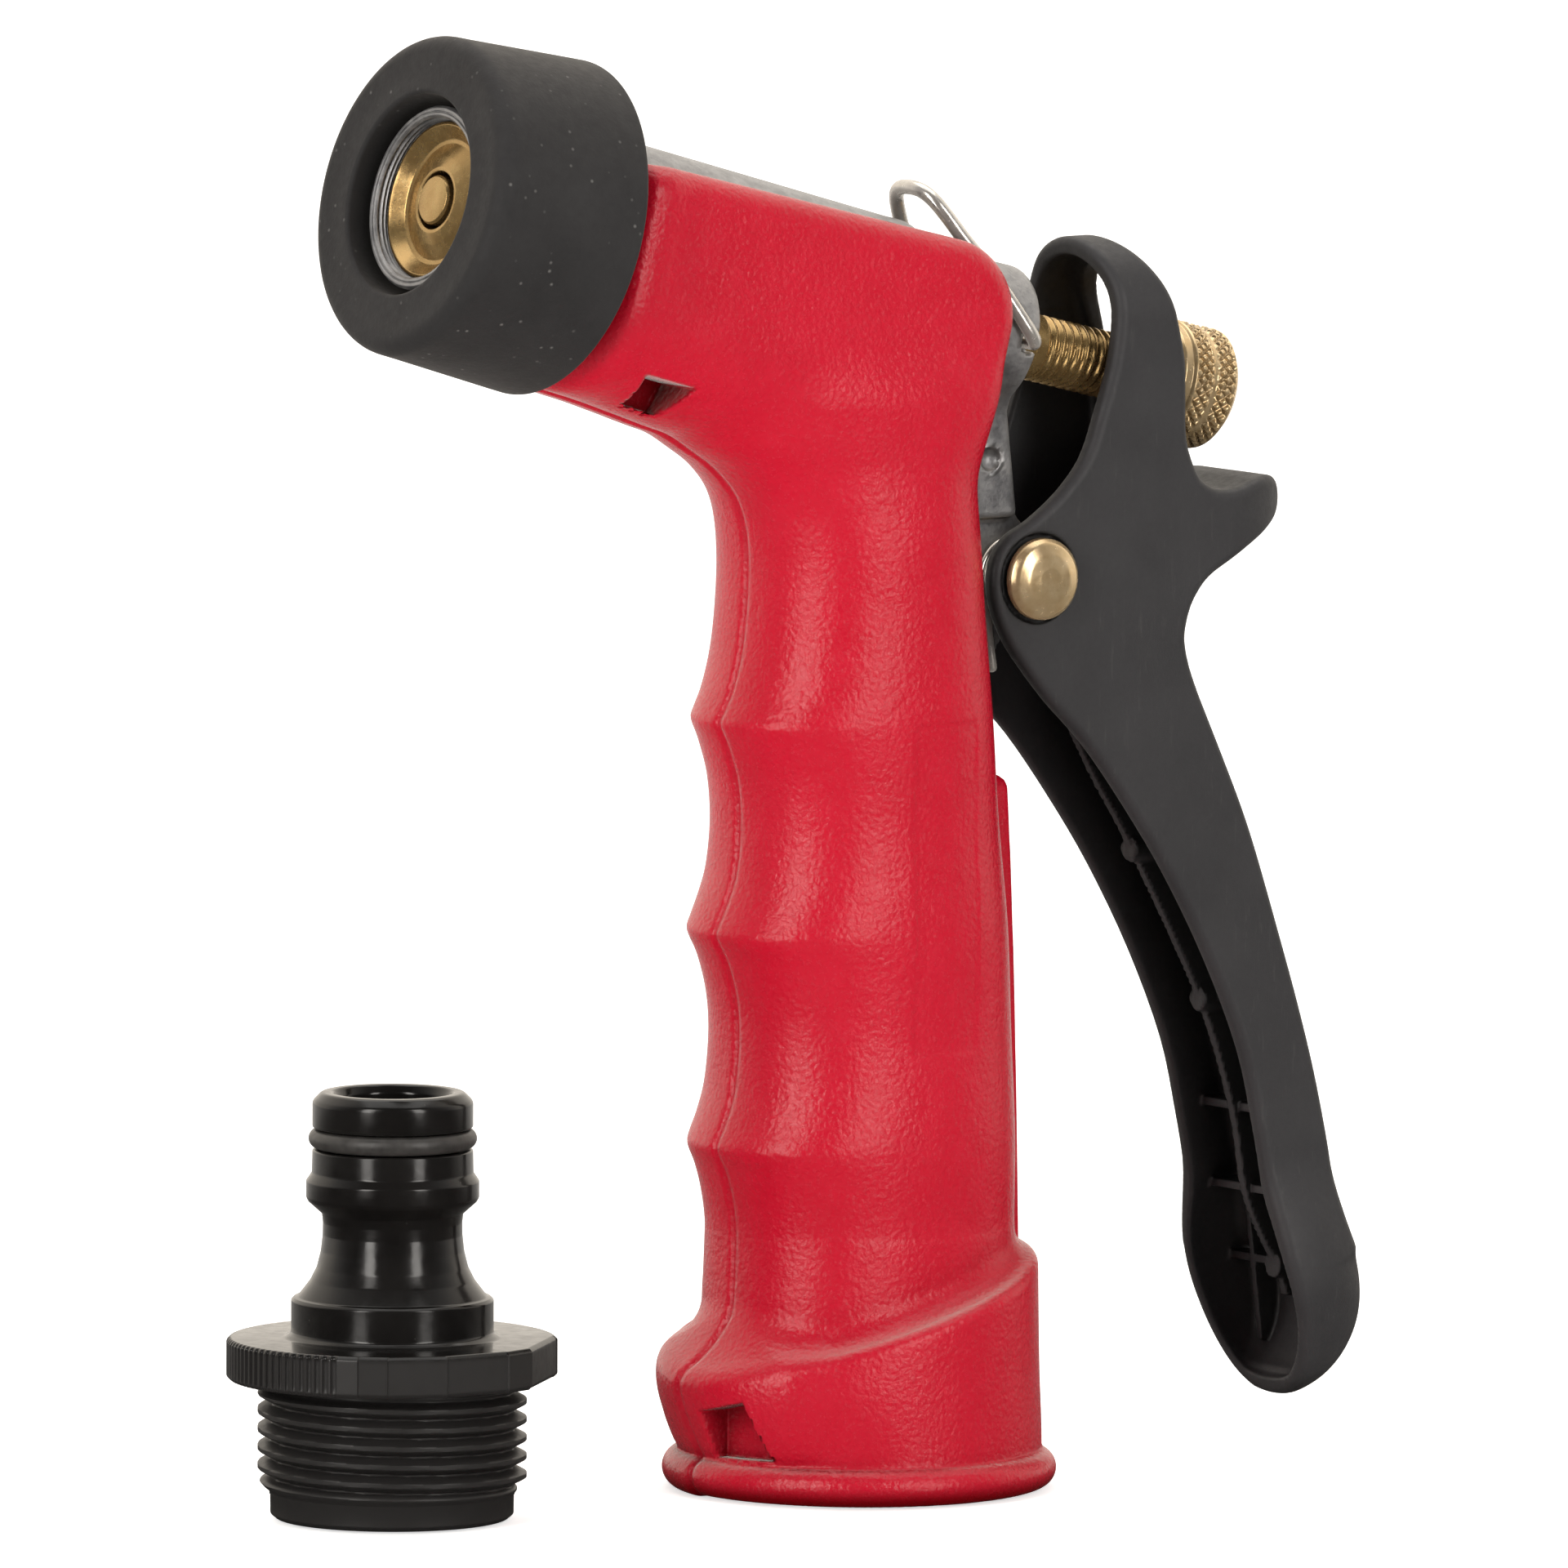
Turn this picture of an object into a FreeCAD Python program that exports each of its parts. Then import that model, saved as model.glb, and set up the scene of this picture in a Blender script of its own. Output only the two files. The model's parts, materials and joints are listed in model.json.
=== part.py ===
import FreeCAD, Part
import Sketcher
import math
import os

# Pistol-grip spray nozzle with a rear squeeze lever, and the loose
# quick-connect adapter that screws into its inlet.
#
# Frame, millimetres: origin at the centre of the inlet ring's bottom face,
# +Z up along the grip, the jet leaves towards -Y, the lever is on the +Y
# side, and +X is the nozzle's left side seen from behind.
#
# The barrel, stem and packing are turned parts, placed in a barrel frame
# whose z axis is the barrel axis pointing forwards.  A "station" is the
# distance forwards from the point where that axis crosses the Z axis.

os.makedirs("parts", exist_ok=True)
Vector = FreeCAD.Vector
Placement = FreeCAD.Placement
Rotation = FreeCAD.Rotation
X_AXIS = Vector(1, 0, 0)
Y_AXIS = Vector(0, 1, 0)
Z_AXIS = Vector(0, 0, 1)

# Driving dimensions.  "outer", "inner", "bore", "root", "mean", "minor" and
# "wire" are radii, "half" is a half width, and "start", "end", "front" and
# "back" on the barrel parts are stations along the barrel.
SIZES = {
    # barrel frame: height where its axis crosses Z, upward tilt in degrees
    "barrel_height": 118.3, "barrel_tilt": 14.3,
    # casting: barrel
    "barrel_outer": 9.7, "barrel_start": -3.0,
    "chamber_bore": 6.6, "chamber_start": -1.0, "chamber_end": 45.0,
    "nose_outer": 9.25, "nose_end": 54.5, "nose_bore": 8.0,
    "flange_outer": 11.5, "flange_start": 46.0, "flange_end": 49.0,
    "boss_outer": 7.4, "boss_end": -16.8,
    "packing_bore": 5.55, "packing_end": -9.5, "stem_guide": 3.47,
    # casting: handle pipe and inlet socket
    "pipe_outer": 10.4, "pipe_bottom": 13.6, "pipe_top": 112.0,
    "pipe_bore": 7.6, "water_bottom": 12.6, "water_top": 116.0,
    "socket_outer": 15.8, "socket_shoulder": 11.2, "socket_top": 14.6,
    "socket_top_outer": 11.8, "socket_bottom": 0.0, "socket_bore": 12.06,
    "socket_depth": 13.2, "washer_seat": 12.5, "washer_seat_start": 10.4,
    "thread_pitch": 1.814, "thread_depth": 1.16,
    # casting: web and pivot lug
    "web_half": 4.0, "lug_half": 2.6, "lug_outer": 4.7,
    "pivot_back": 15.8, "pivot_height": 90.8, "pin_radius": 2.4,
    "running_gap": 0.06,
    # grip cover; head top and bottom are measured from the barrel axis
    "grip_half": 13.0, "grip_power": 2.3, "cover_gap": 0.15,
    "head_half": 12.2, "head_top": 7.5, "head_bottom": 16.1,
    "head_front": 37.9, "head_back": -11.0, "base_outer": 17.8,
    "bead_outer": 19.6, "bead_height": 3.5, "fin_half": 1.4,
    # bumper
    "bumper_outer": 16.6, "bumper_back_outer": 16.3, "bumper_front": 56.1,
    "bumper_back": 38.3, "bumper_bore": 9.8, "bumper_round": 2.2,
    # seat, stem and packing
    "seat_outer": 7.93, "seat_back": 46.05, "seat_lip": 45.5,
    "seat_front": 53.0, "orifice": 3.4, "stem_tip": 2.8,
    "stem_tip_end": 53.2, "stem_outer": 3.4, "stem_neck": 3.0,
    "stem_thread_root": 3.08, "stem_back": -41.9,
    "washer_outer": 5.4, "washer_back": 43.4, "washer_front": 45.46,
    "retainer_outer": 5.9, "retainer_back": 39.0,
    "spring_mean": 4.85, "spring_wire": 0.55, "spring_turns": 11.0,
    "bush_back": -4.0, "bush_front": -1.2, "o_ring_minor": 0.94,
    "backup_thick": 1.0,
    # adjusting nut
    "nut_outer": 6.2, "nut_hub": 5.3, "nut_front": -35.8, "nut_back": -42.5,
    "nut_groove": 5.75,
    # lever
    "lever_half": 7.95, "handle_half": 8.0, "lever_wall": 2.0,
    "lever_boss": 5.4, "slot_half": 3.8, "spoon_half": 10.2,
    # pin, cap and torsion spring
    "pin_head": 4.05, "pin_head_high": 2.2, "cap_outer": 3.8,
    "coil_mean": 3.55, "coil_wire": 0.5, "coil_pitch": 1.08,
    # hold-open clip
    "clip_wire": 0.75, "clip_back": 15.2, "clip_height": 114.4,
    "clip_span": 8.35, "clip_apex_half": 3.0, "clip_hole": 0.85,
    # inlet parts
    "hose_washer_outer": 11.9, "hose_washer_inner": 8.2,
    "hose_washer_thick": 2.6, "screen_outer": 10.3, "screen_thick": 0.5,
    "screen_hole": 0.75,
    # adapter
    "adapter_x": -6.2, "adapter_y": -52.0, "adapter_thread": 13.22,
    "adapter_root": 12.06, "adapter_bore": 5.4, "adapter_flange": 16.35,
    "plug_nose": 7.9, "plug_groove": 6.35, "plug_collar": 8.5,
    "plug_neck": 6.85, "adapter_base": 9.95, "adapter_ring_minor": 0.93,
    "adapter_ring_mean": 7.32,
}

doc = FreeCAD.newDocument("spray_nozzle")
sheet = doc.addObject("Spreadsheet::Sheet", "Dims")
for row, (key, value) in enumerate(SIZES.items(), start=1):
    sheet.set("A%d" % row, key)
    sheet.set("B%d" % row, repr(float(value)))
    sheet.setAlias("B%d" % row, key)
doc.recompute()


# ------------------------------------------------------- sizes and expressions
class Dim:
    """A size with its value and the sheet expression it comes from."""

    def __init__(self, value, text):
        self.value = float(value)
        self.text = text

    @staticmethod
    def of(number):
        return number if isinstance(number, Dim) else Dim(number, repr(float(number)))

    def _pair(self, other, value, sign):
        return Dim(value, "(%s %s %s)" % (self.text, sign, other.text))

    def __add__(self, other):
        other = Dim.of(other)
        return self._pair(other, self.value + other.value, "+")

    def __sub__(self, other):
        other = Dim.of(other)
        return self._pair(other, self.value - other.value, "-")

    def __mul__(self, other):
        other = Dim.of(other)
        return self._pair(other, self.value * other.value, "*")


def size(key):
    """A sheet size as a plain number."""
    return float(getattr(sheet, key))


def dim(key):
    """A sheet size that carries its expression."""
    return Dim(size(key), "Dims." + key)


def heights_from(origin):
    """Function giving a station's height above the origin station."""
    return lambda key, offset=0.0: dim(key) - origin + offset


def bind(obj, prop, length):
    obj.setExpression(prop, Dim.of(length).text)


# -------------------------------------------------------------------- places
TILT_DEG = size("barrel_tilt")
TILT = math.radians(TILT_DEG)
FORWARD = Vector(0, -math.cos(TILT), math.sin(TILT))
UPWARD = Vector(0, math.sin(TILT), math.cos(TILT))
BARREL_ORIGIN = Vector(0, 0, size("barrel_height"))
PIVOT = Vector(0, size("pivot_back"), size("pivot_height"))
ADAPTER_AT = Vector(size("adapter_x"), size("adapter_y"), 0)


def barrel_place(station):
    return Placement(BARREL_ORIGIN + FORWARD * station, Rotation(X_AXIS, 90.0 - TILT_DEG))


def barrel_point(x, rise, station):
    """Point at x, at a rise square to the barrel axis, at a station."""
    return BARREL_ORIGIN + FORWARD * station + UPWARD * rise + Vector(x, 0, 0)


def along(base, axis):
    return Placement(base, Rotation(Z_AXIS, axis))


def upright(z):
    return Placement(Vector(0, 0, z), Rotation())


# ------------------------------------------------------------ building blocks
def plane(body, role):
    return [item for item in body.Origin.OriginFeatures if item.Role == role][0]


def pin_coordinate(sketch, index, kind, axis, length):
    """Fix one coordinate of a line's start, on the axis where it is zero."""
    if length.value == 0:
        sketch.addConstraint(Sketcher.Constraint("PointOnObject", index, 1, axis))
    else:
        number = sketch.addConstraint(
            Sketcher.Constraint(kind, -1, 1, index, 1, length.value))
        sketch.setExpression("Constraints[%d]" % number, length.text)


def turned(name, points, place):
    """PartDesign body revolved about its z axis from (radius, height)
    points, each bound to the sheet.  Heights are zero or positive."""
    body = doc.addObject("PartDesign::Body", name + "_body")
    sketch = body.newObject("Sketcher::SketchObject", name + "_profile")
    sketch.AttachmentSupport = [(plane(body, "XZ_Plane"), "")]
    sketch.MapMode = "FlatFace"
    points = [(Dim.of(radius), Dim.of(height)) for radius, height in points]
    count = len(points)
    corners = [Vector(radius.value, height.value, 0) for radius, height in points]
    for i in range(count):
        sketch.addGeometry(Part.LineSegment(corners[i], corners[(i + 1) % count]), False)
    for i in range(count):
        sketch.addConstraint(Sketcher.Constraint("Coincident", i, 2, (i + 1) % count, 1))
    for i, (radius, height) in enumerate(points):
        pin_coordinate(sketch, i, "DistanceX", -2, radius)
        pin_coordinate(sketch, i, "DistanceY", -1, height)
    turn = body.newObject("PartDesign::Revolution", name + "_turn")
    turn.Profile = sketch
    turn.ReferenceAxis = (sketch, ["V_Axis"])
    turn.Angle = 360.0
    sketch.Visibility = False
    body.Tip = turn
    body.Placement = place
    doc.recompute()
    return body


def cylinder(name, radius, length, place):
    obj = doc.addObject("Part::Cylinder", name)
    bind(obj, "Radius", radius)
    bind(obj, "Height", length)
    obj.Placement = place
    return obj


def cone(name, low_radius, high_radius, length, z):
    obj = doc.addObject("Part::Cone", name)
    bind(obj, "Radius1", low_radius)
    bind(obj, "Radius2", high_radius)
    bind(obj, "Height", length)
    obj.Placement = upright(z)
    return obj


def torus(name, mean, minor, place):
    obj = doc.addObject("Part::Torus", name)
    bind(obj, "Radius1", mean)
    bind(obj, "Radius2", minor)
    obj.Placement = place
    return obj


def fuse(name, objects):
    obj = doc.addObject("Part::MultiFuse", name)
    obj.Shapes = objects
    return obj


def cut(name, base, tool):
    obj = doc.addObject("Part::Cut", name)
    obj.Base = base
    obj.Tool = tool
    return obj


def feature(name, shape):
    obj = doc.addObject("Part::Feature", name)
    obj.Shape = shape
    return obj


def outline_face(points):
    """Flat face in the plane X=0 from (y, z) points."""
    corners = [Vector(0, y, z) for y, z in points]
    return Part.Face(Part.makePolygon(corners + [corners[0]]))


def plate(points, half):
    """Solid plate from (y, z) points, 2*half thick about X=0."""
    solid = outline_face(points).extrude(Vector(2 * half, 0, 0))
    solid.translate(Vector(-half, 0, 0))
    return solid


def bound_plate(name, points, half):
    """The same kind of plate as an extrusion bound to the sheet."""
    obj = doc.addObject("Part::Extrusion", name)
    obj.Base = feature(name + "_outline", outline_face(points))
    obj.DirMode = "Custom"
    obj.Dir = X_AXIS
    bind(obj, "LengthFwd", half)
    bind(obj, "LengthRev", half)
    obj.Solid = True
    return obj


def largest(shape):
    return max(shape.Solids, key=lambda solid: solid.Volume)


# ------------------------------------------------------------------- casting
# side outlines, (y, z)
WEB_OUTLINE = [(2, 111.0), (14.0, 107.9), (16.0, 97.0), (2, 93.5)]
LUG_OUTLINE = [(2, 100.0), (16.6, 98.0), (20.1, 92.6), (20.3, 90.4), (14.2, 86.4), (2, 82.0)]
INLET_THREAD_START = 2.0
INLET_THREAD_TURNS = 4
SEAT_THREAD_TURNS = 3
SEAT_THREAD_PITCH = 0.5


def casting_solid():
    return fuse("casting_solid", [
        cylinder("barrel_tube", dim("barrel_outer"),
                 dim("flange_start") - dim("barrel_start"), barrel_place(size("barrel_start"))),
        cylinder("nose_flange", dim("flange_outer"),
                 dim("flange_end") - dim("flange_start"), barrel_place(size("flange_start"))),
        cylinder("nose_tube", dim("nose_outer"),
                 dim("nose_end") - dim("flange_end"), barrel_place(size("flange_end"))),
        cylinder("rear_boss", dim("boss_outer"),
                 dim("barrel_start") - dim("boss_end") + 0.1, barrel_place(size("boss_end"))),
        cylinder("handle_pipe", dim("pipe_outer"),
                 dim("pipe_top") - dim("pipe_bottom"), upright(size("pipe_bottom"))),
        cylinder("inlet_socket", dim("socket_outer"),
                 dim("socket_shoulder") - dim("socket_bottom"), upright(size("socket_bottom"))),
        cone("inlet_shoulder", dim("socket_outer"), dim("socket_top_outer"),
             dim("socket_top") - dim("socket_shoulder"), size("socket_shoulder")),
        bound_plate("rear_web", WEB_OUTLINE, dim("web_half")),
        bound_plate("lug_plate", LUG_OUTLINE, dim("lug_half")),
        cylinder("pivot_lug", dim("lug_outer"), dim("lug_half") * 2,
                 along(PIVOT - Vector(size("lug_half"), 0, 0), X_AXIS)),
    ])


def inlet_thread():
    """Thread grooves as rings, each a widening and a narrowing cone."""
    crest = dim("socket_bore") - 0.05
    root = dim("socket_bore") + dim("thread_depth")
    flank = dim("thread_pitch") * 0.47
    cones = []
    for k in range(INLET_THREAD_TURNS):
        z = INLET_THREAD_START + size("thread_pitch") * k
        cones.append(cone("inlet_thread_low%d" % k, crest, root, flank, z))
        cones.append(cone("inlet_thread_high%d" % k, root, crest, flank, z + flank.value))
    return cones


def casting_voids():
    clip_at = Vector(0, size("clip_back"), size("clip_height"))
    clip_inset = Vector(5.4, 0, 0)
    clip_hole_depth = 2.4
    voids = [
        cylinder("valve_chamber", dim("chamber_bore"),
                 dim("chamber_end") - dim("chamber_start"), barrel_place(size("chamber_start"))),
        cylinder("nose_thread_bore", dim("nose_bore"),
                 dim("nose_end") - dim("chamber_end") + 1.0, barrel_place(size("chamber_end"))),
    ]
    # the last turns of the seat thread, left open in front of the seat insert
    for k in range(SEAT_THREAD_TURNS):
        station = size("seat_front") + 0.12 + SEAT_THREAD_PITCH * k
        voids.append(cylinder("seat_thread_turn%d" % k, dim("nose_bore") + 0.3, 0.28,
                              barrel_place(station)))
    voids += [
        cylinder("packing_chamber", dim("packing_bore"),
                 dim("chamber_start") - dim("packing_end") + 0.5,
                 barrel_place(size("packing_end"))),
        cylinder("stem_guide_bore", dim("stem_guide"), 20.0, barrel_place(-19.0)),
        cylinder("water_way", dim("pipe_bore"), dim("water_top") - dim("water_bottom"),
                 upright(size("water_bottom"))),
        cylinder("washer_seat", dim("washer_seat"),
                 dim("socket_depth") - dim("washer_seat_start"),
                 upright(size("washer_seat_start"))),
        cylinder("inlet_thread_bore", dim("socket_bore"),
                 dim("socket_depth") - dim("socket_bottom") + 1.0,
                 upright(size("socket_bottom") - 1.0)),
        cylinder("screen_seat", dim("screen_outer") + 0.1, 0.9,
                 upright(size("socket_depth") - 0.2)),
    ]
    voids += inlet_thread()
    voids += [
        cylinder("pin_bore", dim("pin_radius") + dim("running_gap"), 12.0,
                 along(PIVOT - Vector(6, 0, 0), X_AXIS)),
        cylinder("clip_hole_left", dim("clip_hole"), clip_hole_depth,
                 along(clip_at + clip_inset, X_AXIS)),
        cylinder("clip_hole_right", dim("clip_hole"), clip_hole_depth,
                 along(clip_at - clip_inset, Vector(-1, 0, 0))),
    ]
    return fuse("casting_voids", voids)


def body_casting():
    return cut("body_casting_cut", casting_solid(), casting_voids())


# ---------------------------------------------------------------- grip cover
# (z, y of the front edge), with three finger crests
GRIP_FRONT = [
    (14, -14.6), (20, -14.6), (26.5, -15.0), (31.0, -15.5), (33.0, -16.1), (35.0, -17.0),
    (37.2, -16.1), (41.0, -15.1), (46.0, -14.8), (50.0, -15.1), (54.0, -16.2), (56.5, -17.2),
    (59.2, -15.9), (62.5, -15.0), (67.0, -14.7), (72.0, -15.1), (75.2, -16.1), (77.6, -17.1),
    (80.0, -15.9), (84.0, -14.6), (88.0, -14.1), (93.0, -13.8), (97.0, -14.2), (100.0, -15.2),
    (103.0, -17.4), (105.5, -20.0), (108, -20.5), (112, -20.5)]
# (z, y of the rear edge)
GRIP_REAR = [
    (14, 15.6), (26, 15.6), (40, 15.4), (52, 14.9), (71, 13.1), (80, 12.1), (92, 10.9),
    (100, 10.0), (106, 10.2), (112, 10.4)]
# (z, half width), drawn for a nominal half width that grip_half scales
GRIP_NOMINAL_HALF = 13.0
GRIP_HALF = [
    (14, 13.4), (24, 13.2), (40, 13.0), (92, 13.0), (98, 12.9), (104, 12.5), (110, 12.2),
    (114, 12.1)]
# heights of the loft sections
GRIP_LEVELS = [
    14, 21, 26.5, 29, 31, 32, 33, 34, 35, 36, 37.2, 39, 41, 43.5, 46, 48, 50, 52, 54, 55.2,
    56.5, 57.8, 59.2, 60.8, 62.5, 67, 69.5, 72, 73.6, 75.2, 76.4, 77.6, 78.8, 80, 82, 84, 88,
    93, 97, 98.5, 100, 101.5, 103, 104.2, 105.5, 108, 111.5]
GRIP_CENTRE_Y = -0.8
GRIP_SECTION_POINTS = 28
# rear fin, (y, z)
FIN_OUTLINE = [(10, 27), (18.0, 24.5), (17.6, 45.6), (16.4, 68.8), (15.2, 70.6), (9, 70.6)]


def interpolate(table, z):
    """Straight-line value at z, which lies within the table."""
    for (z_low, low), (z_high, high) in zip(table, table[1:]):
        if z <= z_high:
            return low + (high - low) * (z - z_low) / (z_high - z_low)


def signed_power(number, power):
    return math.copysign(abs(number) ** power, number)


def grip_wire(z):
    """Superellipse section with its own front and rear depths."""
    half = interpolate(GRIP_HALF, z) * size("grip_half") / GRIP_NOMINAL_HALF
    power = 2.0 / size("grip_power")
    front = -(interpolate(GRIP_FRONT, z) - GRIP_CENTRE_Y)
    rear = interpolate(GRIP_REAR, z) - GRIP_CENTRE_Y
    points = []
    for i in range(GRIP_SECTION_POINTS):
        angle = 2 * math.pi * i / GRIP_SECTION_POINTS
        depth = rear if math.sin(angle) > 0 else front
        points.append(Vector(half * signed_power(math.cos(angle), power),
                             GRIP_CENTRE_Y + depth * signed_power(math.sin(angle), power), z))
    curve = Part.BSplineCurve()
    curve.interpolate(Points=points, PeriodicFlag=True)
    return Part.Wire([curve.toShape()])


def head_wire(station, half, top, bottom, top_round, low_round):
    """Rounded section of the head across the barrel axis."""
    low_x, low_rise = half - low_round, -bottom + low_round
    top_x, top_rise = half - top_round, top - top_round
    points = []
    # corner centre, its radius and its first angle
    for x, rise, radius, first in ((low_x, low_rise, low_round, -90),
                                   (top_x, top_rise, top_round, 0),
                                   (-top_x, top_rise, top_round, 90),
                                   (-low_x, low_rise, low_round, 180)):
        for k in range(5):
            angle = math.radians(first + 22.5 * k)
            points.append(barrel_point(x + radius * math.cos(angle),
                                       rise + radius * math.sin(angle), station))
    return Part.Wire(Part.makePolygon(points + [points[0]]).Edges)


def cover_head():
    half, top, bottom = size("head_half"), size("head_top"), size("head_bottom")
    # station, half width, top, bottom, top corner radius, low corner radius
    sections = [
        (size("head_front"), half + 0.3, top - 0.6, bottom - 0.6, 2.0, 11.0),
        (34.5, half - 0.4, top, bottom, 2.0, 10.8),
        (30.0, half, top, bottom + 0.2, 2.2, 10.8),
        (18.0, half, top, bottom + 1.2, 2.4, 10.8),
        (0.0, half, top, bottom + 1.2, 2.6, 10.8),
        (-5.5, half - 0.1, top - 0.6, bottom + 0.6, 3.0, 10.8),
        (-9.0, half - 0.6, top - 3.6, bottom, 3.4, 10.4),
        (size("head_back"), half - 2.8, top - 7.0, bottom - 3.0, 3.0, 8.5)]
    return Part.makeLoft([head_wire(*section) for section in sections], True, True)


def cover_base():
    """Round foot with a bulge to the front, its top sloping down forwards."""
    height = 26.0
    ring = Part.makeCylinder(size("base_outer") + 0.5, height, Vector(0, 0, 0.8))
    toe = Part.makeCylinder(size("base_outer"), height, Vector(0, -1.4, 1.2))
    above = Part.makeBox(80, 100, 60, Vector(-40, -50, 0))
    above.Placement = Placement(Vector(0, -19.0, 13.2), Rotation(X_AXIS, 16.5))
    return ring.fuse(toe).cut(above)


def cover_bead():
    """Half-round bead about the bottom rim."""
    height = size("bead_height")
    radius = height / 2
    mean = size("bead_outer") - radius
    return Part.makeTorus(mean, radius, Vector(0, 0, radius)).fuse(
        Part.makeCylinder(mean, height, Vector(0, 0, 0)))


def side_on_box(length, width, height, corner):
    """Box tilted with the barrel, its width running backwards."""
    box = Part.makeBox(length, width, height)
    box.Placement = Placement(corner, Rotation(X_AXIS, -TILT_DEG))
    return box


def cover_voids():
    gap = size("cover_gap")
    # room for the casting
    inner = Part.makeCylinder(size("barrel_outer") + gap, 60.0,
                              BARREL_ORIGIN + FORWARD * (size("barrel_start") - 0.2), FORWARD)
    inner = inner.fuse(Part.makeCylinder(
        size("boss_outer") + gap, 17.0,
        BARREL_ORIGIN + FORWARD * (size("boss_end") - 2.0), FORWARD))
    inner = inner.fuse(Part.makeCylinder(size("pipe_outer") + gap, 110.0,
                                         Vector(0, 0, 2), Z_AXIS))
    inner = inner.fuse(Part.makeCylinder(size("socket_outer") + gap,
                                         size("socket_shoulder") + gap + 1.0,
                                         Vector(0, 0, -1.0), Z_AXIS))
    inner = inner.fuse(Part.makeCone(size("socket_outer") + gap, size("socket_top_outer") + gap,
                                     size("socket_top") - size("socket_shoulder"),
                                     Vector(0, 0, size("socket_shoulder") + gap), Z_AXIS))
    # roof opening above the barrel
    roof_half = 8.4
    inner = inner.fuse(side_on_box(2 * roof_half, 60.0, 14.0,
                                   barrel_point(-roof_half, 3.0, 40.0)))
    # slot the web comes out through
    slot_half = size("web_half") + gap
    inner = inner.fuse(Part.makeBox(2 * slot_half, 22.0, 30.5, Vector(-slot_half, 2.0, 81.6)))
    # a window low in each side of the head, left then right
    for corner_x in (7.5, -16.5):
        inner = inner.fuse(side_on_box(9.0, 6.6, 3.4, barrel_point(corner_x, -15.6, 30.8)))
    # one window in the front of the base, left of centre
    return inner.fuse(Part.makeBox(5.6, 8.0, 5.2, Vector(4.6, -22.0, 4.6)))


def grip_cover():
    outer = Part.makeLoft([grip_wire(z) for z in GRIP_LEVELS], True, True)
    for addition in (cover_head(), cover_base(), cover_bead(),
                     plate(FIN_OUTLINE, size("fin_half"))):
        outer = outer.fuse(addition)
    return feature("grip_cover_shape", largest(outer.cut(cover_voids())))


# -------------------------------------------------------------------- bumper
def front_bumper():
    at = heights_from(dim("bumper_back"))
    gap = 0.15
    length = at("bumper_front")
    outer, back_outer = dim("bumper_outer"), dim("bumper_back_outer")
    bore, nose_round = dim("bumper_bore"), dim("bumper_round")
    flange = dim("flange_outer") + gap
    return turned("front_bumper", [
        (bore + gap, 0), (back_outer - 1.6, 0), (back_outer - 0.5, 0.45), (back_outer, 1.5),
        (outer, length - nose_round), (outer - nose_round * 0.29, length - nose_round * 0.29),
        (outer - nose_round, length), (bore + 0.7, length), (bore, length - 0.7),
        (bore, at("flange_end", gap)), (flange, at("flange_end", gap)),
        (flange, at("flange_start", -gap)), (bore + gap, at("flange_start", -gap)),
    ], barrel_place(size("bumper_back")))


# --------------------------------------------------- seat, stem and packing
# the seat, its gasket and the valve washer share an origin behind the chamber end
SEAT_ORIGIN = dim("chamber_end") - 5.0
SEAT_PLACE = barrel_place(SEAT_ORIGIN.value)
seat_at = heights_from(SEAT_ORIGIN)
# the bush and the backup washer start from the rear end of the packing
PACKING_PLACE = barrel_place(size("packing_end"))
O_RING_STATIONS = (-7.2, -5.2)


def valve_seat():
    outer, orifice = dim("seat_outer"), dim("orifice")
    return turned("valve_seat", [
        (orifice + 0.9, seat_at("seat_back")), (outer, seat_at("seat_back")),
        (outer, seat_at("seat_front")), (outer - 0.35, seat_at("seat_front")),
        (outer - 0.8, seat_at("seat_front", -0.55)), (6.1, seat_at("seat_front", -1.75)),
        (4.9, seat_at("seat_front", -2.55)), (orifice + 0.35, seat_at("seat_front", -3.0)),
        (orifice, seat_at("seat_front", -3.2)), (orifice, seat_at("seat_lip")),
        (orifice + 0.5, seat_at("seat_lip")),
    ], SEAT_PLACE)


def seat_gasket():
    bore = 6.0
    back, front = seat_at("chamber_end", 0.03), seat_at("seat_back", -0.03)
    return turned("seat_gasket", [(bore, back), (dim("seat_outer"), back),
                                  (dim("seat_outer"), front), (bore, front)], SEAT_PLACE)


def valve_stem():
    """Threaded rear end, plain rod, neck for the washer, chamfered tip."""
    at = heights_from(dim("stem_back"))
    outer, neck, tip = dim("stem_outer"), dim("stem_neck"), dim("stem_tip")
    thread_start, thread_pitch, thread_turns = 1.0, 1.0, 20
    points = [(0, 0), (outer - 0.5, 0), (outer, 0.5)]
    for k in range(thread_turns):
        height = thread_start + thread_pitch * k
        points += [(outer, height), (dim("stem_thread_root"), height + 0.42),
                   (outer, height + 0.84)]
    points += [
        (outer, at("retainer_back")), (neck, at("retainer_back")),
        (neck, at("washer_back", -0.05)), (tip, at("washer_back", -0.05)),
        (tip, at("stem_tip_end", -0.4)), (tip - 0.4, at("stem_tip_end")),
        (0, at("stem_tip_end"))]
    return turned("valve_stem", points, barrel_place(size("stem_back")))


def valve_washer():
    bore, outer = dim("stem_tip") + 0.04, dim("washer_outer")
    back, front = seat_at("washer_back", 0.02), seat_at("washer_front")
    return turned("valve_washer", [(bore, back), (outer, back), (outer, front), (bore, front)],
                  SEAT_PLACE)


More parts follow.
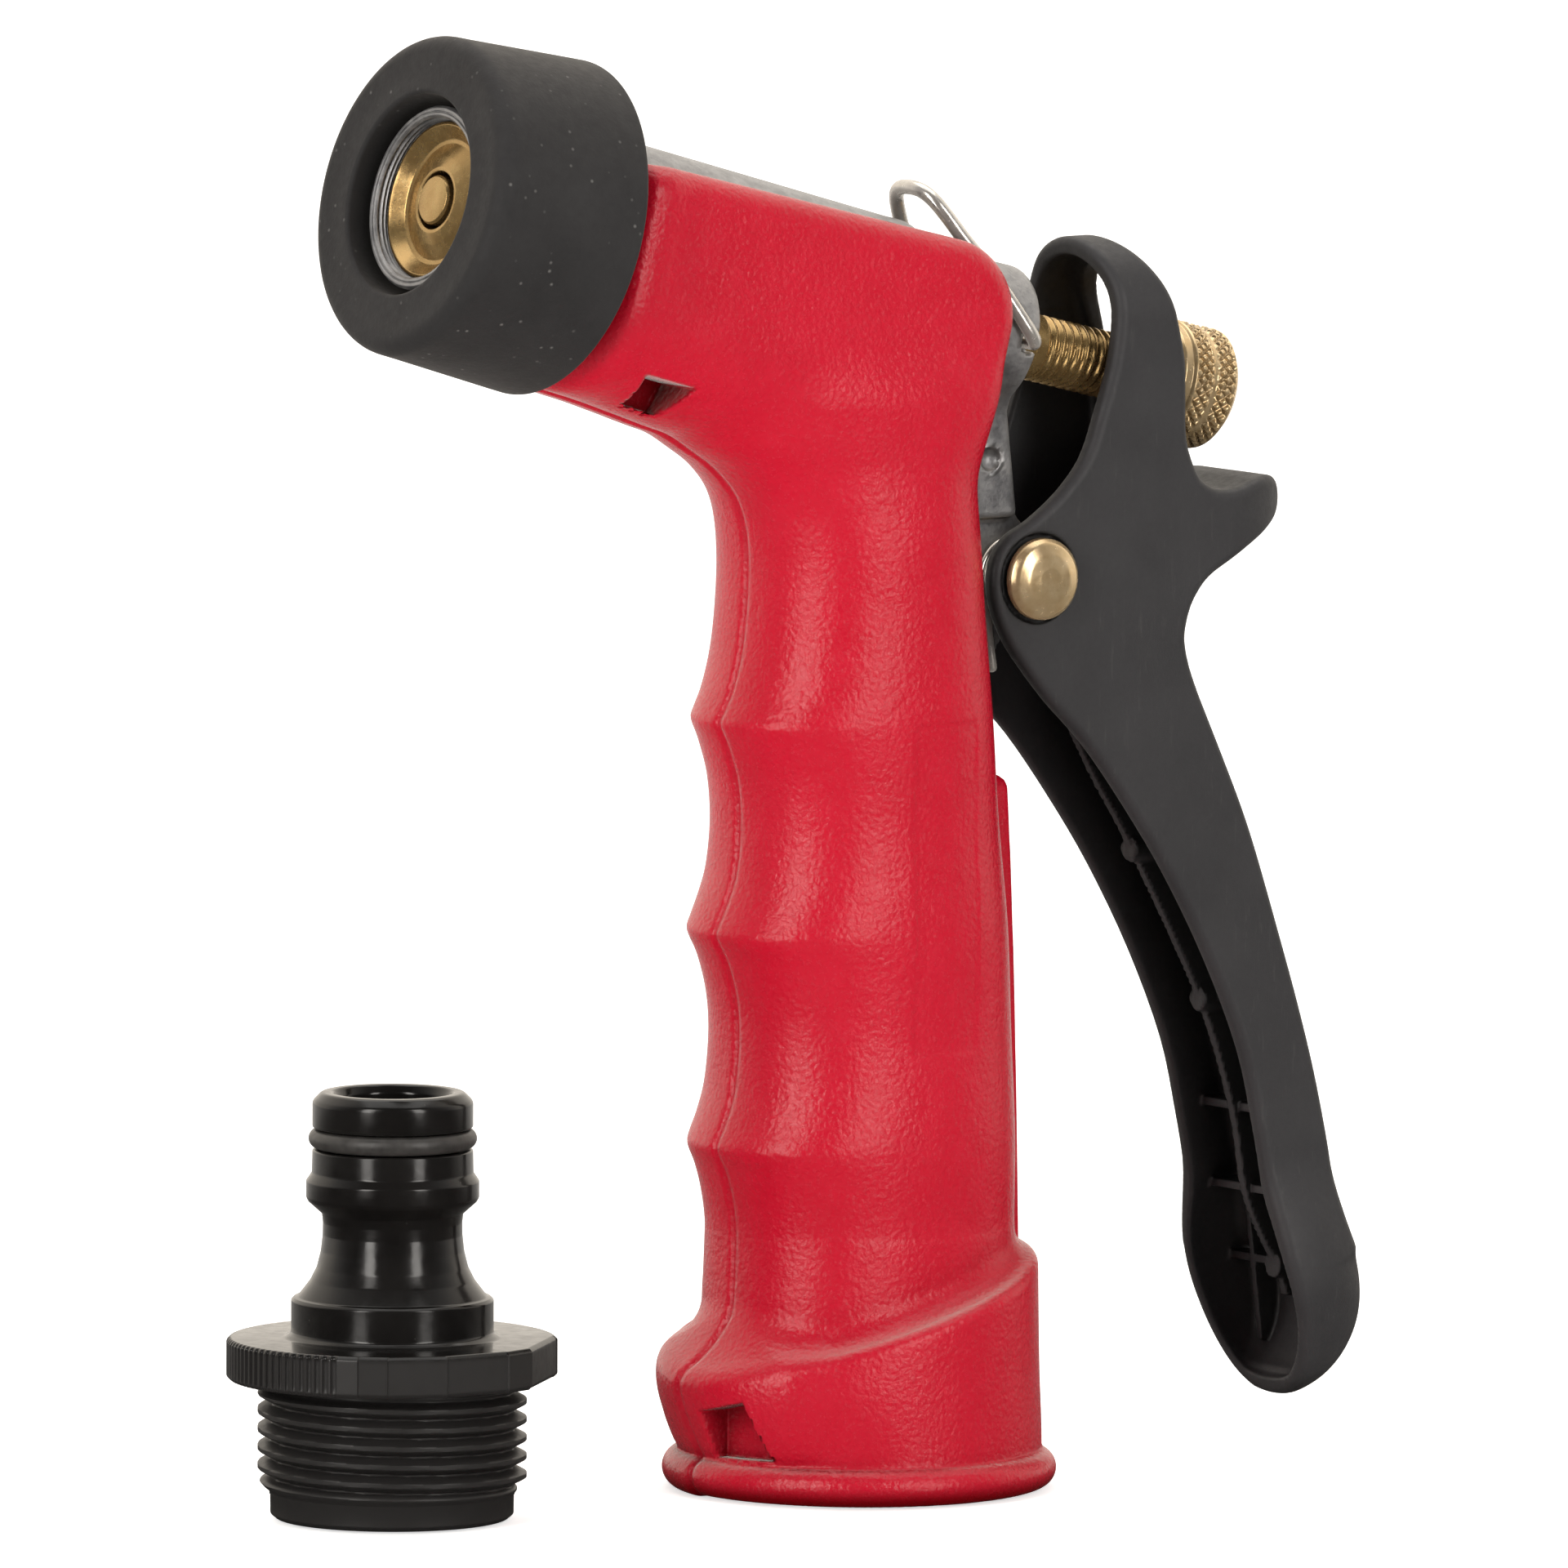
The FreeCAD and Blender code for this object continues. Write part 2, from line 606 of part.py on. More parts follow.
def washer_retainer():
    """Cup round the back of the valve washer, with a smaller spring hub."""
    at = heights_from(dim("retainer_back"))
    bore, outer = dim("stem_neck") + 0.04, dim("retainer_outer")
    cup, hub = dim("washer_outer") + 0.05, outer - 1.6
    rim, floor = at("washer_back", 0.8), at("washer_back", -0.02)
    return turned("washer_retainer", [
        (bore, 0.05), (hub, 0.05), (hub, 1.0), (outer, 1.0), (outer, rim), (cup, rim),
        (cup, floor), (bore, floor)], barrel_place(size("retainer_back")))


def return_spring():
    mean, wire = dim("spring_mean"), dim("spring_wire")
    length = dim("retainer_back") + 1.0 - dim("chamber_start") - wire * 2 - 0.5
    path = doc.addObject("Part::Helix", "return_spring_path")
    bind(path, "Radius", mean)
    bind(path, "Pitch", length * (1.0 / size("spring_turns")))
    bind(path, "Height", length)
    section = doc.addObject("Part::Circle", "return_spring_section")
    bind(section, "Radius", wire)
    section.Placement = Placement(Vector(mean.value, 0, 0), Rotation(X_AXIS, 90))
    sweep = doc.addObject("Part::Sweep", "return_spring_sweep")
    sweep.Sections = [section]
    sweep.Spine = (path, [])
    sweep.Solid = True
    sweep.Frenet = True
    sweep.Placement = barrel_place(size("chamber_start") + wire.value + 0.15)
    return sweep


def gland_bush():
    at = heights_from(dim("packing_end"))
    bore, outer = dim("stem_guide"), dim("packing_bore") - 0.02
    return turned("gland_bush", [(bore, at("bush_back")), (outer, at("bush_back")),
                                 (outer, at("bush_front")), (bore, at("bush_front"))],
                  PACKING_PLACE)


def backup_washer():
    bore, outer = dim("stem_guide"), dim("packing_bore") - 0.05
    front = dim("backup_thick")
    return turned("backup_washer", [(bore, 0.03), (outer, 0.03), (outer, front), (bore, front)],
                  PACKING_PLACE)


def stem_o_rings():
    minor = dim("o_ring_minor")
    pair = doc.addObject("Part::Compound", "stem_ring_pair")
    pair.Links = [torus("stem_ring%d" % k, dim("stem_outer") + 0.05 + minor, minor,
                        barrel_place(station))
                  for k, station in enumerate(O_RING_STATIONS)]
    return pair


def adjusting_nut():
    at = heights_from(dim("nut_back"))
    outer, hub, groove = dim("nut_outer"), dim("nut_hub"), dim("nut_groove")
    bore = dim("stem_outer") + 0.05
    return turned("adjusting_nut", [
        (bore + 0.5, 0), (outer - 1.0, 0), (outer, 0.8), (outer, 2.75), (groove, 2.95),
        (groove, 3.45), (outer, 3.65), (outer, at("nut_front", -1.35)),
        (hub, at("nut_front", -1.0)), (hub, at("nut_front", -0.3)),
        (hub - 0.3, at("nut_front")), (bore, at("nut_front")), (bore, 0.5),
    ], barrel_place(size("nut_back")))


# --------------------------------------------------------------------- lever
# side outlines, (y, z)
# rear edge, from the top of the arch down to the handle
LEVER_REAR = [
    (24.6, 124.0), (26.6, 123.7), (28.8, 122.2), (30.6, 120.0), (31.8, 117.6), (32.9, 114.6),
    (33.6, 111.6), (33.7, 108.0), (33.7, 104.5), (34.2, 101.7), (36.6, 99.5), (37.6, 92.0),
    (34.9, 88.6), (33.8, 86.0), (33.4, 83.6), (34.5, 80.4), (36.0, 77.0), (38.2, 71.9),
    (40.5, 66.8), (42.4, 61.8), (45.4, 53.3), (47.5, 46.6), (49.5, 39.8), (51.1, 33.1),
    (52.2, 28.0), (53.4, 23.0)]
# open front edge, from the handle up to the pivot boss
LEVER_FRONT_LOW = [
    (46.4, 19.5), (44.8, 25.5), (43.4, 33.8), (41.5, 41.4), (37.4, 50.7), (32.4, 59.6),
    (27.5, 66.9), (22.4, 73.4), (17.4, 78.2), (13.9, 83.2)]
# open front edge, from the pivot boss up to the arch
LEVER_FRONT_HIGH = [
    (15.2, 96.2), (18.9, 99.4), (21.9, 102.8), (23.4, 107.4), (24.8, 112.2), (25.3, 116.3),
    (25.2, 119.4), (24.6, 121.4)]
# hollow of the channel
LEVER_HOLLOW = [
    (5.0, 121.6), (26.0, 121.4), (28.2, 119.4), (29.6, 117.0), (30.7, 114.0), (31.4, 111.2),
    (31.6, 108.0), (31.6, 104.5), (31.9, 101.4), (33.6, 98.4), (33.9, 93.2), (32.6, 89.6),
    (31.7, 86.4), (31.2, 83.2), (32.3, 79.6), (33.9, 76.2), (36.1, 71.1), (38.4, 66.0),
    (40.3, 61.1), (43.3, 52.7), (45.4, 46.1), (47.3, 39.3), (48.9, 32.8), (50.0, 27.8),
    (51.1, 23.2), (50.0, 20.0), (30.0, 20.0), (5.0, 84.0)]
# thumb horn behind the spine
HORN_OUTLINE = [
    (33.0, 100.5), (34.6, 100.7), (36.8, 99.5), (41.0, 99.5), (43.6, 99.3), (45.0, 98.0),
    (45.2, 96.3), (43.8, 94.6), (41.6, 93.1), (38.9, 91.6), (36.4, 90.1), (34.4, 88.0),
    (33.0, 88.0)]
# region of the spoon ellipsoid that is kept
SPOON_REGION = [
    (46.4, 24.5), (45.2, 20.4), (47.0, 16.0), (48.8, 11.6), (50.8, 4.0), (70, 2.0),
    (70, 30.0), (46.0, 34.0)]
# rib along the handle channel, before it is shifted back by RIB_SHIFT
RIB_OUTLINE = [
    (32.0, 79.0), (34.2, 74.5), (39.4, 62.0), (44.6, 47.5), (48.2, 34.0), (50.6, 22.0),
    (49.2, 22.0), (46.8, 34.0), (43.1, 47.5), (37.9, 62.0), (32.7, 74.5), (30.4, 79.0)]
RIB_SHIFT = 0.9
RIB_HALF = 0.6
HANDLE_TOP = 84.0           # the handle is below this height
SPOON_CENTRE = Vector(0, 49.0, 18.6)
SPOON_TILT = 14.0


def boss_arc():
    """Front of the round pivot boss, upwards."""
    radius = size("lever_boss")
    arc = []
    for degrees in range(-120, -355, -20):
        angle = math.radians(degrees)
        arc.append((PIVOT.y + radius * math.cos(angle), PIVOT.z + radius * math.sin(angle)))
    return [(y, z) for y, z in arc if y < 15.0 and 86.0 < z < 95.8]


def round_top(half, length, y, centre_z):
    """Block with a half-round top, running backwards from y."""
    return Part.makeCylinder(half, length, Vector(0, y, centre_z), Y_AXIS)


def spoon_ellipsoid(half_x, half_y, half_z):
    scale = FreeCAD.Matrix()
    scale.scale(half_x, half_y, half_z)
    solid = Part.makeSphere(1.0).transformGeometry(scale)
    solid.rotate(Vector(0, 0, 0), X_AXIS, SPOON_TILT)
    solid.translate(SPOON_CENTRE)
    return solid


def lever_outside():
    upper, handle = size("lever_half"), size("handle_half")
    solid = plate(LEVER_REAR + LEVER_FRONT_LOW + boss_arc() + LEVER_FRONT_HIGH, handle)
    # the upper part is narrower than the handle
    for corner_x in (upper, -upper - 3.0):
        solid = solid.cut(Part.makeBox(3.0, 60.0, 60.0, Vector(corner_x, 0, HANDLE_TOP)))
    # rounded top of the arch
    arch_z = 116.7
    arch = round_top(upper, 40.0, 5, arch_z).fuse(
        Part.makeBox(2 * upper, 60, arch_z, Vector(-upper, 5, 0)))
    arch = arch.fuse(Part.makeBox(2 * handle, 80, HANDLE_TOP, Vector(-handle, 0, 0)))
    solid = solid.common(arch)
    solid = solid.fuse(plate(HORN_OUTLINE, upper))
    # spoon end of the handle
    spoon = spoon_ellipsoid(size("spoon_half"), 9.4, 13.6).common(plate(SPOON_REGION, 20))
    return solid.fuse(spoon)


def upper_hollow(half):
    arch_z = 116.4
    arch = round_top(half, 60.0, 2, arch_z).fuse(
        Part.makeBox(2 * half, 80, arch_z, Vector(-half, 2, 0)))
    return plate(LEVER_HOLLOW, half).common(arch)


def stem_slot():
    half, y, depth = size("slot_half"), 26.0, 12.0
    bottom, straight = 104.0, 11.4
    return Part.makeBox(2 * half, depth, straight, Vector(-half, y, bottom)).fuse(
        round_top(half, depth, y, bottom + straight))


def lever():
    wall = size("lever_wall")
    handle_outline = [(y, z) for y, z in LEVER_HOLLOW if z < 83.5 and y > 6] + [(14.0, 80.0)]
    shape = lever_outside()
    shape = shape.cut(upper_hollow(size("lever_half") - wall))
    shape = shape.cut(plate(handle_outline, size("handle_half") - wall))
    shape = shape.cut(spoon_ellipsoid(size("spoon_half") - wall, 7.4, 11.6))
    shape = shape.cut(stem_slot())
    # pin bores through both walls
    shape = shape.cut(Part.makeCylinder(size("pin_radius") + 0.03, 30.0,
                                        PIVOT - Vector(15, 0, 0), X_AXIS))
    shape = shape.fuse(plate([(y + RIB_SHIFT, z) for y, z in RIB_OUTLINE], RIB_HALF))
    return feature("lever_shape", largest(shape.removeSplitter()))


# ------------------------------------------------- pin, cap, torsion spring
def pivot_pin():
    """Pin across the lever, its domed head on the left."""
    radius, head = dim("pin_radius"), dim("pin_head")
    width = dim("lever_half") * 2
    left_end = size("lever_half") + 0.05
    place = Placement(PIVOT + Vector(left_end - 2 * size("lever_half") - 1.5, 0, 0),
                      Rotation(Y_AXIS, 90))
    return turned("pivot_pin", [
        (0, 0), (radius, 0), (radius, width + 1.5), (head - 0.2, width + 1.5),
        (head, width + 1.8), (head - 0.12, width + 2.3), (head - 0.7, width + 2.95),
        (head - 1.9, width + 3.5), (0, width + 1.5 + dim("pin_head_high")),
    ], place)


def pin_cap():
    """Cap over the pin's right end."""
    outer, bore = dim("cap_outer"), dim("pin_radius") + 0.02
    place = Placement(PIVOT + Vector(-size("lever_half") - 2.0, 0, 0), Rotation(Y_AXIS, 90))
    return turned("pin_cap", [
        (0, 0.2), (outer - 0.9, 0), (outer, 0.9), (outer, 1.95), (bore, 1.95), (bore, 0.45),
        (0, 0.45)], place)


def lever_spring():
    """Coils round the pin on the left of the lug, with one leg to the grip
    cover's back and the other to the lever's spine."""
    mean, wire, pitch = size("coil_mean"), size("coil_wire"), size("coil_pitch")
    first_x = size("lug_half") + 0.15 + wire
    cover_end = Vector(first_x, 13.4, 81.6)
    lever_end = Vector(first_x + 1.0, 29.2, 84.6)
    coil_steps, cover_steps, lever_steps = 60, 6, 8

    def touch(point, sign):
        """Angle at which a straight leg from the point meets the coil."""
        y, z = point.y - PIVOT.y, point.z - PIVOT.z
        return math.atan2(z, y) + sign * math.acos(mean / math.hypot(y, z))

    first = touch(cover_end, -1.0) + 2.0 * math.pi
    last = touch(lever_end, 1.0) - 2.0 * math.pi
    coil = []
    for i in range(coil_steps + 1):
        angle = first + (last - first) * i / coil_steps
        coil.append(Vector(first_x + pitch * (first - angle) / (2 * math.pi),
                           PIVOT.y + mean * math.cos(angle),
                           PIVOT.z + mean * math.sin(angle)))
    start, end = coil[0], coil[-1]
    # one smooth wire: straight leg, coil, straight leg
    points = [cover_end + (start - cover_end) * (k / cover_steps) for k in range(cover_steps)]
    points += coil
    points += [end + (lever_end - end) * (k / lever_steps) for k in range(1, lever_steps + 1)]
    curve = Part.BSplineCurve()
    curve.interpolate(Points=points)
    edge = curve.toShape()
    section = Part.Wire([Part.makeCircle(wire, cover_end, edge.tangentAt(edge.FirstParameter))])
    solid = Part.Wire([edge]).makePipeShell([section], True, False)
    if solid.Volume < 0:
        solid.reverse()
    return feature("lever_spring_shape", solid)


# ------------------------------------------------------------ hold-open clip
def clip_path():
    """Narrow V: hooked ends in the boss holes, legs rising forwards, and a
    small round apex."""
    back, height = size("clip_back"), size("clip_height")
    apex_half = size("clip_apex_half")
    apex_z = 128.0
    right_leg = [Vector(-5.6, back, height), Vector(-size("clip_span"), back, height),
                 Vector(-7.95, 13.2, 117.6), Vector(-6.4, 10.3, 122.3),
                 Vector(-apex_half - 0.5, 6.6, apex_z)]
    apex = []
    for k in range(7):
        angle = math.radians(180 - 30 * k)
        rise = 2.6 * math.sin(angle)
        apex.append(Vector((apex_half + 0.3) * math.cos(angle), 6.5 - 0.526 * rise,
                           apex_z + 0.80 * rise))
    left_leg = [Vector(-point.x, point.y, point.z) for point in reversed(right_leg)]
    return right_leg + apex + left_leg


def hold_open_clip():
    wire = size("clip_wire")
    path = clip_path()
    rods = [Part.makeCylinder(wire, (end - start).Length, start, end - start)
            for start, end in zip(path, path[1:])]
    clip = rods[0]
    for rod in rods[1:]:
        clip = clip.fuse(rod)
    for bend in path[1:-1]:
        clip = clip.fuse(Part.makeSphere(wire, bend))
    return feature("hold_open_clip_shape", clip.Solids[0])


# --------------------------------------------------------------- inlet parts
# (number of holes, radius of the ring they lie on)
SCREEN_RINGS = ((1, 0.0), (6, 2.3), (12, 4.6), (18, 6.9))


def hose_washer():
    inner, outer = dim("hose_washer_inner"), dim("hose_washer_outer")
    thick = dim("hose_washer_thick")
    return turned("hose_washer", [(inner, 0), (outer, 0), (outer, thick), (inner, thick)],
                  upright(size("socket_depth") - thick.value - 0.05))


def flat_sketch(body, name):
    sketch = body.newObject("Sketcher::SketchObject", name)
    sketch.AttachmentSupport = [(plane(body, "XY_Plane"), "")]
    sketch.MapMode = "FlatFace"
    return sketch


def bound_circle(sketch, centre, key):
    """Add a circle with its radius bound to a sheet size."""
    index = sketch.addGeometry(Part.Circle(centre, Z_AXIS, size(key)), False)
    number = sketch.addConstraint(Sketcher.Constraint("Radius", index, size(key)))
    sketch.setExpression("Constraints[%d]" % number, dim(key).text)


def inlet_screen():
    body = doc.addObject("PartDesign::Body", "inlet_screen_body")
    disc = flat_sketch(body, "screen_disc")
    bound_circle(disc, Vector(0, 0, 0), "screen_outer")
    disc.addConstraint(Sketcher.Constraint("Coincident", 0, 3, -1, 1))
    pad = body.newObject("PartDesign::Pad", "screen_pad")
    pad.Profile = disc
    bind(pad, "Length", dim("screen_thick"))
    doc.recompute()

    holes = flat_sketch(body, "screen_holes")
    for count, radius in SCREEN_RINGS:
        for i in range(count):
            angle = 2 * math.pi * i / count
            centre = Vector(radius * math.cos(angle), radius * math.sin(angle), 0)
            bound_circle(holes, centre, "screen_hole")
    doc.recompute()
    solid_volume = pad.Shape.Volume
    pocket = body.newObject("PartDesign::Pocket", "screen_pocket")
    pocket.Profile = holes
    pocket.Type = 1             # through all
    body.Tip = pocket
    # take the direction in which the pocket meets the disc
    for is_reversed in (True, False):
        pocket.Reversed = is_reversed
        doc.recompute()
        if pocket.Shape.Volume < solid_volume - 1.0:
            break
    else:
        raise RuntimeError("screen pocket cuts nothing")
    body.Placement = upright(size("socket_depth") + 0.05)
    return body


# ------------------------------------------------------------------- adapter
# The adapter stands upright in front of the nozzle, its plug upwards.
ADAPTER_THREAD_START = 2.4
ADAPTER_THREAD_TURNS = 5
PLUG_GROOVE_LOW = 36.6
PLUG_GROOVE_HIGH = 38.7
FLAT_ANGLES = (-62.0, -2.0, 118.0, 178.0)   # two opposite pairs
FLAT_DISTANCE = 15.3


def adapter_turning():
    root, thread, bore = dim("adapter_root"), dim("adapter_thread"), dim("adapter_bore")
    flange, base, neck = dim("adapter_flange"), dim("adapter_base"), dim("plug_neck")
    collar, nose, groove = dim("plug_collar"), dim("plug_nose"), dim("plug_groove")
    points = [(bore + 2.4, 0), (root - 0.35, 0), (root - 0.05, 0.3),
              (root - 0.05, ADAPTER_THREAD_START)]
    for k in range(ADAPTER_THREAD_TURNS):
        z = ADAPTER_THREAD_START + size("thread_pitch") * k
        points += [(root, z + 0.1), (thread, z + 0.72), (thread, z + 1.1), (root, z + 1.72)]
    points += [
        (root, 13.6), (flange - 0.5, 13.6), (flange, 14.1), (flange, 17.3),
        (flange - 0.5, 17.7), (base, 17.7), (base, 21.6), (neck + 1.5, 23.4),
        (neck + 0.4, 25.0), (neck, 26.6), (neck, 29.9), (collar, 31.3), (collar, 33.2),
        (nose, 34.4), (nose, 36.5), (groove, PLUG_GROOVE_LOW), (groove, PLUG_GROOVE_HIGH),
        (nose, 38.8), (nose, 40.8), (nose - 1.0, 41.8), (bore + 0.8, 41.8), (bore, 41.0),
        (bore, 20.0), (bore + 2.4, 12.0)]
    return turned("adapter_body", points, Placement())


def flange_flat(k, degrees):
    """Box that cuts one flat on the flange."""
    box = doc.addObject("Part::Box", "flange_flat%d" % k)
    bind(box, "Length", 4.0)
    bind(box, "Width", 30.0)
    bind(box, "Height", 5.0)
    turn = Rotation(Z_AXIS, degrees)
    corner = turn.multVec(Vector(FLAT_DISTANCE, -15.0, 0)) + Vector(0, 0, 13.2)
    box.Placement = Placement(corner, turn)
    return box


def adapter_body():
    turning = adapter_turning()
    flats = fuse("flange_flats", [flange_flat(k, angle) for k, angle in enumerate(FLAT_ANGLES)])
    adapter = cut("adapter_cut", turning, flats)
    adapter.Placement = Placement(ADAPTER_AT, Rotation())
    return adapter


def adapter_o_ring():
    centre_z = (PLUG_GROOVE_LOW + PLUG_GROOVE_HIGH) / 2
    return torus("adapter_ring", dim("adapter_ring_mean"), dim("adapter_ring_minor"),
                 Placement(ADAPTER_AT + Vector(0, 0, centre_z), Rotation()))


# --------------------------------------------------- build, check and export
BUILDERS = {
    "body_casting": body_casting,
    "grip_cover": grip_cover,
    "front_bumper": front_bumper,
    "valve_seat": valve_seat,
    "seat_gasket": seat_gasket,
    "valve_stem": valve_stem,
    "valve_washer": valve_washer,
    "washer_retainer": washer_retainer,
    "return_spring": return_spring,
    "gland_bush": gland_bush,
    "backup_washer": backup_washer,
    "stem_o_rings": stem_o_rings,
    "adjusting_nut": adjusting_nut,
    "lever": lever,
    "pivot_pin": pivot_pin,
    "pin_cap": pin_cap,
    "lever_spring": lever_spring,
    "hold_open_clip": hold_open_clip,
    "hose_washer": hose_washer,
    "inlet_screen": inlet_screen,
    "adapter_body": adapter_body,
    "adapter_o_ring": adapter_o_ring,
}
nodes = {}
for name, build in BUILDERS.items():
    nodes[name] = build()
    nodes[name].Label = name
doc.recompute()

failed = ["%s %s" % (obj.Name, obj.State) for obj in doc.Objects
          if any(word in ("Invalid", "Error") for word in obj.State)]
if failed:
    raise RuntimeError("failed objects: " + "; ".join(failed))
for name, obj in nodes.items():
    if obj.Shape.isNull() or not obj.Shape.isValid():
        raise RuntimeError("bad shape: " + name)
    if not obj.Shape.Solids:
        raise RuntimeError("no solid: " + name)
for name, obj in nodes.items():
    obj.Shape.exportStep("parts/" + name + ".step")
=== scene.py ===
"""A pistol-grip spray nozzle and its loose quick-connect adapter.

The grip stands along +Z from the inlet at z = 0.  The barrel points to the
front, -Y, and rises as it goes.  The squeeze lever hangs behind the grip, on
the +Y side, and X runs across.  The adapter stands on the floor in front.
Shapes are worked out in millimetres and written in metres.
"""
import json
import math
from functools import reduce

import bmesh
import bpy
import numpy as np
from mathutils import Matrix, Vector


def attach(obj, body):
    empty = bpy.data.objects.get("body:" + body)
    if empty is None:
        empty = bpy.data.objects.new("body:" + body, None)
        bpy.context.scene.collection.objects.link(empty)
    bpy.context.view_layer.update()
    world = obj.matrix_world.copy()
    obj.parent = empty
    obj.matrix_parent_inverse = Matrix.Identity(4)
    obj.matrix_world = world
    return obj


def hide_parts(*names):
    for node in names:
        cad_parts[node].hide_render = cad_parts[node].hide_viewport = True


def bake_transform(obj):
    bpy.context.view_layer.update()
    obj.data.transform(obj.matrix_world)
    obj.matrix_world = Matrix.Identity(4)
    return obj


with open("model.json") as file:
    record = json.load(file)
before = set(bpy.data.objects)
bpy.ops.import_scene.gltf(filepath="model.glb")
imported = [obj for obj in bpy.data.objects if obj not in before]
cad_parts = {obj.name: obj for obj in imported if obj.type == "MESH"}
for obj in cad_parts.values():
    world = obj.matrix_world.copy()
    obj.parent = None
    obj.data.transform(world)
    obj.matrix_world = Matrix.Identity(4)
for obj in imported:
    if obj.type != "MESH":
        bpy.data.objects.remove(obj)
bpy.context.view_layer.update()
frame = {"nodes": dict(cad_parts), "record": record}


scene = bpy.context.scene
f32 = np.float32

MM = 0.001
TURN = 2 * math.pi

# Dimensions shared by several pieces, in millimetres
TILT = math.radians(14.3)           # rise of the barrel axis
COS_TILT, SIN_TILT = math.cos(TILT), math.sin(TILT)
BARREL_Z = 118.3                    # height of the barrel axis at y = 0
PIVOT_Y, PIVOT_Z = 15.8, 90.8       # lever pin, along X
CLIP_Y, CLIP_Z = 15.2, 114.4        # cross hole for the wire clip
FIT = 0.15                          # gap between cover and casting
PIPE_R = 10.4                       # upright pipe of the casting
BOSS_R = 7.4                        # casting boss behind the barrel
SOCKET_R, SOCKET_TOP = 15.8, 11.2   # inlet socket of the casting
THREAD_R, THREAD_PITCH = 12.06, 1.814
SIGHT_X, SIGHT_Y = 0.8211, -0.5601  # level direction towards the camera


# ---------------------------------------------------------------- field kit
# A field is a signed distance, negative inside the material.
def smooth_min(a, b, k):
    """Union with a soft blend of width k."""
    h = np.clip(0.5 + 0.5 * (b - a) / k, 0.0, 1.0)
    return b * (1 - h) + a * h - k * h * (1 - h)


def round_max(a, b, r):
    """Intersection with a rounded edge of radius r."""
    outside = np.hypot(np.maximum(a + r, 0), np.maximum(b + r, 0))
    return np.minimum(np.maximum(a, b), -r) + outside


def round_min(a, b, r):
    """Union with a fillet of radius r."""
    return -round_max(-a, -b, r)


def common(*fields):
    """Intersection with plain edges."""
    return reduce(np.maximum, fields)


def union(*fields):
    """Union with plain edges."""
    return reduce(np.minimum, fields)


def slab(value, mid, half):
    """Band of the given half width about mid."""
    return np.abs(value - mid) - half


def rise(value, start, end):
    """0 at start, 1 at end, straight between and level outside."""
    return np.clip((value - start) / (end - start), 0, 1)


def rounded_box(u, v, half_u, half_v, r):
    """Rectangle about the origin with corners of radius r."""
    a = np.abs(u) - half_u + r
    b = np.abs(v) - half_v + r
    return np.minimum(np.maximum(a, b), 0) + np.hypot(np.maximum(a, 0), np.maximum(b, 0)) - r


def barrel_coords(y, z):
    """Distance forwards along the barrel axis, and height square to it."""
    along = -y * COS_TILT + (z - BARREL_Z) * SIN_TILT
    up = y * SIN_TILT + (z - BARREL_Z) * COS_TILT
    return along, up


def smooth_chain(points, sub):
    """Catmull-Rom chain through the points, sub steps to a span."""
    p = np.asarray(points, float)
    p = np.vstack([2 * p[0] - p[1], p, 2 * p[-1] - p[-2]])
    chain = []
    for p0, p1, p2, p3 in zip(p, p[1:], p[2:], p[3:]):
        for k in range(sub):
            t = k / sub
            chain.append(0.5 * ((2 * p1) + (-p0 + p2) * t + (2 * p0 - 5 * p1 + 4 * p2 - p3) * t * t
                                + (-p0 + 3 * p1 - 3 * p2 + p3) * t ** 3))
    chain.append(p[-2])
    return np.array(chain)


def station_curve(points):
    """Smooth curve through (station, value) points, as a fast lookup."""
    chain = smooth_chain(points, sub=8)
    stations, values = chain[:, 0].astype(f32), chain[:, 1].astype(f32)
    return lambda at: np.interp(at, stations, values).astype(f32)


class Outline:
    """Signed distance to a closed outline in a plane, kept on a grid."""

    def __init__(self, points, step=0.2, pad=7.0):
        p = np.asarray(points, float)
        self.low = p.min(0) - pad
        self.step = step
        self.size = np.ceil((p.max(0) + pad - self.low) / step).astype(int) + 2
        axes = [self.low[a] + step * np.arange(self.size[a]) for a in range(2)]
        u, v = (grid.astype(f32) for grid in np.meshgrid(*axes, indexing="ij"))
        nearest = np.full(u.shape, 1e9, f32)
        inside = np.zeros(u.shape, bool)
        for (ax, ay), (bx, by) in zip(p, np.roll(p, -1, axis=0)):
            dx, dy = bx - ax, by - ay
            length2 = dx * dx + dy * dy
            if length2 < 1e-12:
                continue
            t = np.clip(((u - ax) * dx + (v - ay) * dy) / length2, 0, 1)
            nearest = np.minimum(nearest, (u - ax - t * dx) ** 2 + (v - ay - t * dy) ** 2)
            if ay != by:
                spans = (v >= min(ay, by)) & (v < max(ay, by))
                inside ^= spans & (u < ax + (v - ay) * dx / dy)
        self.grid = np.sqrt(nearest) * np.where(inside, -1, 1)

    def __call__(self, u, v):
        a = np.clip((u - self.low[0]) / self.step, 0, self.size[0] - 1.001)
        b = np.clip((v - self.low[1]) / self.step, 0, self.size[1] - 1.001)
        i = a.astype(np.int32)
        j = b.astype(np.int32)
        s = a - i
        t = b - j
        g = self.grid
        return ((g[i, j] * (1 - s) + g[i + 1, j] * s) * (1 - t)
                + (g[i, j + 1] * (1 - s) + g[i + 1, j + 1] * s) * t)


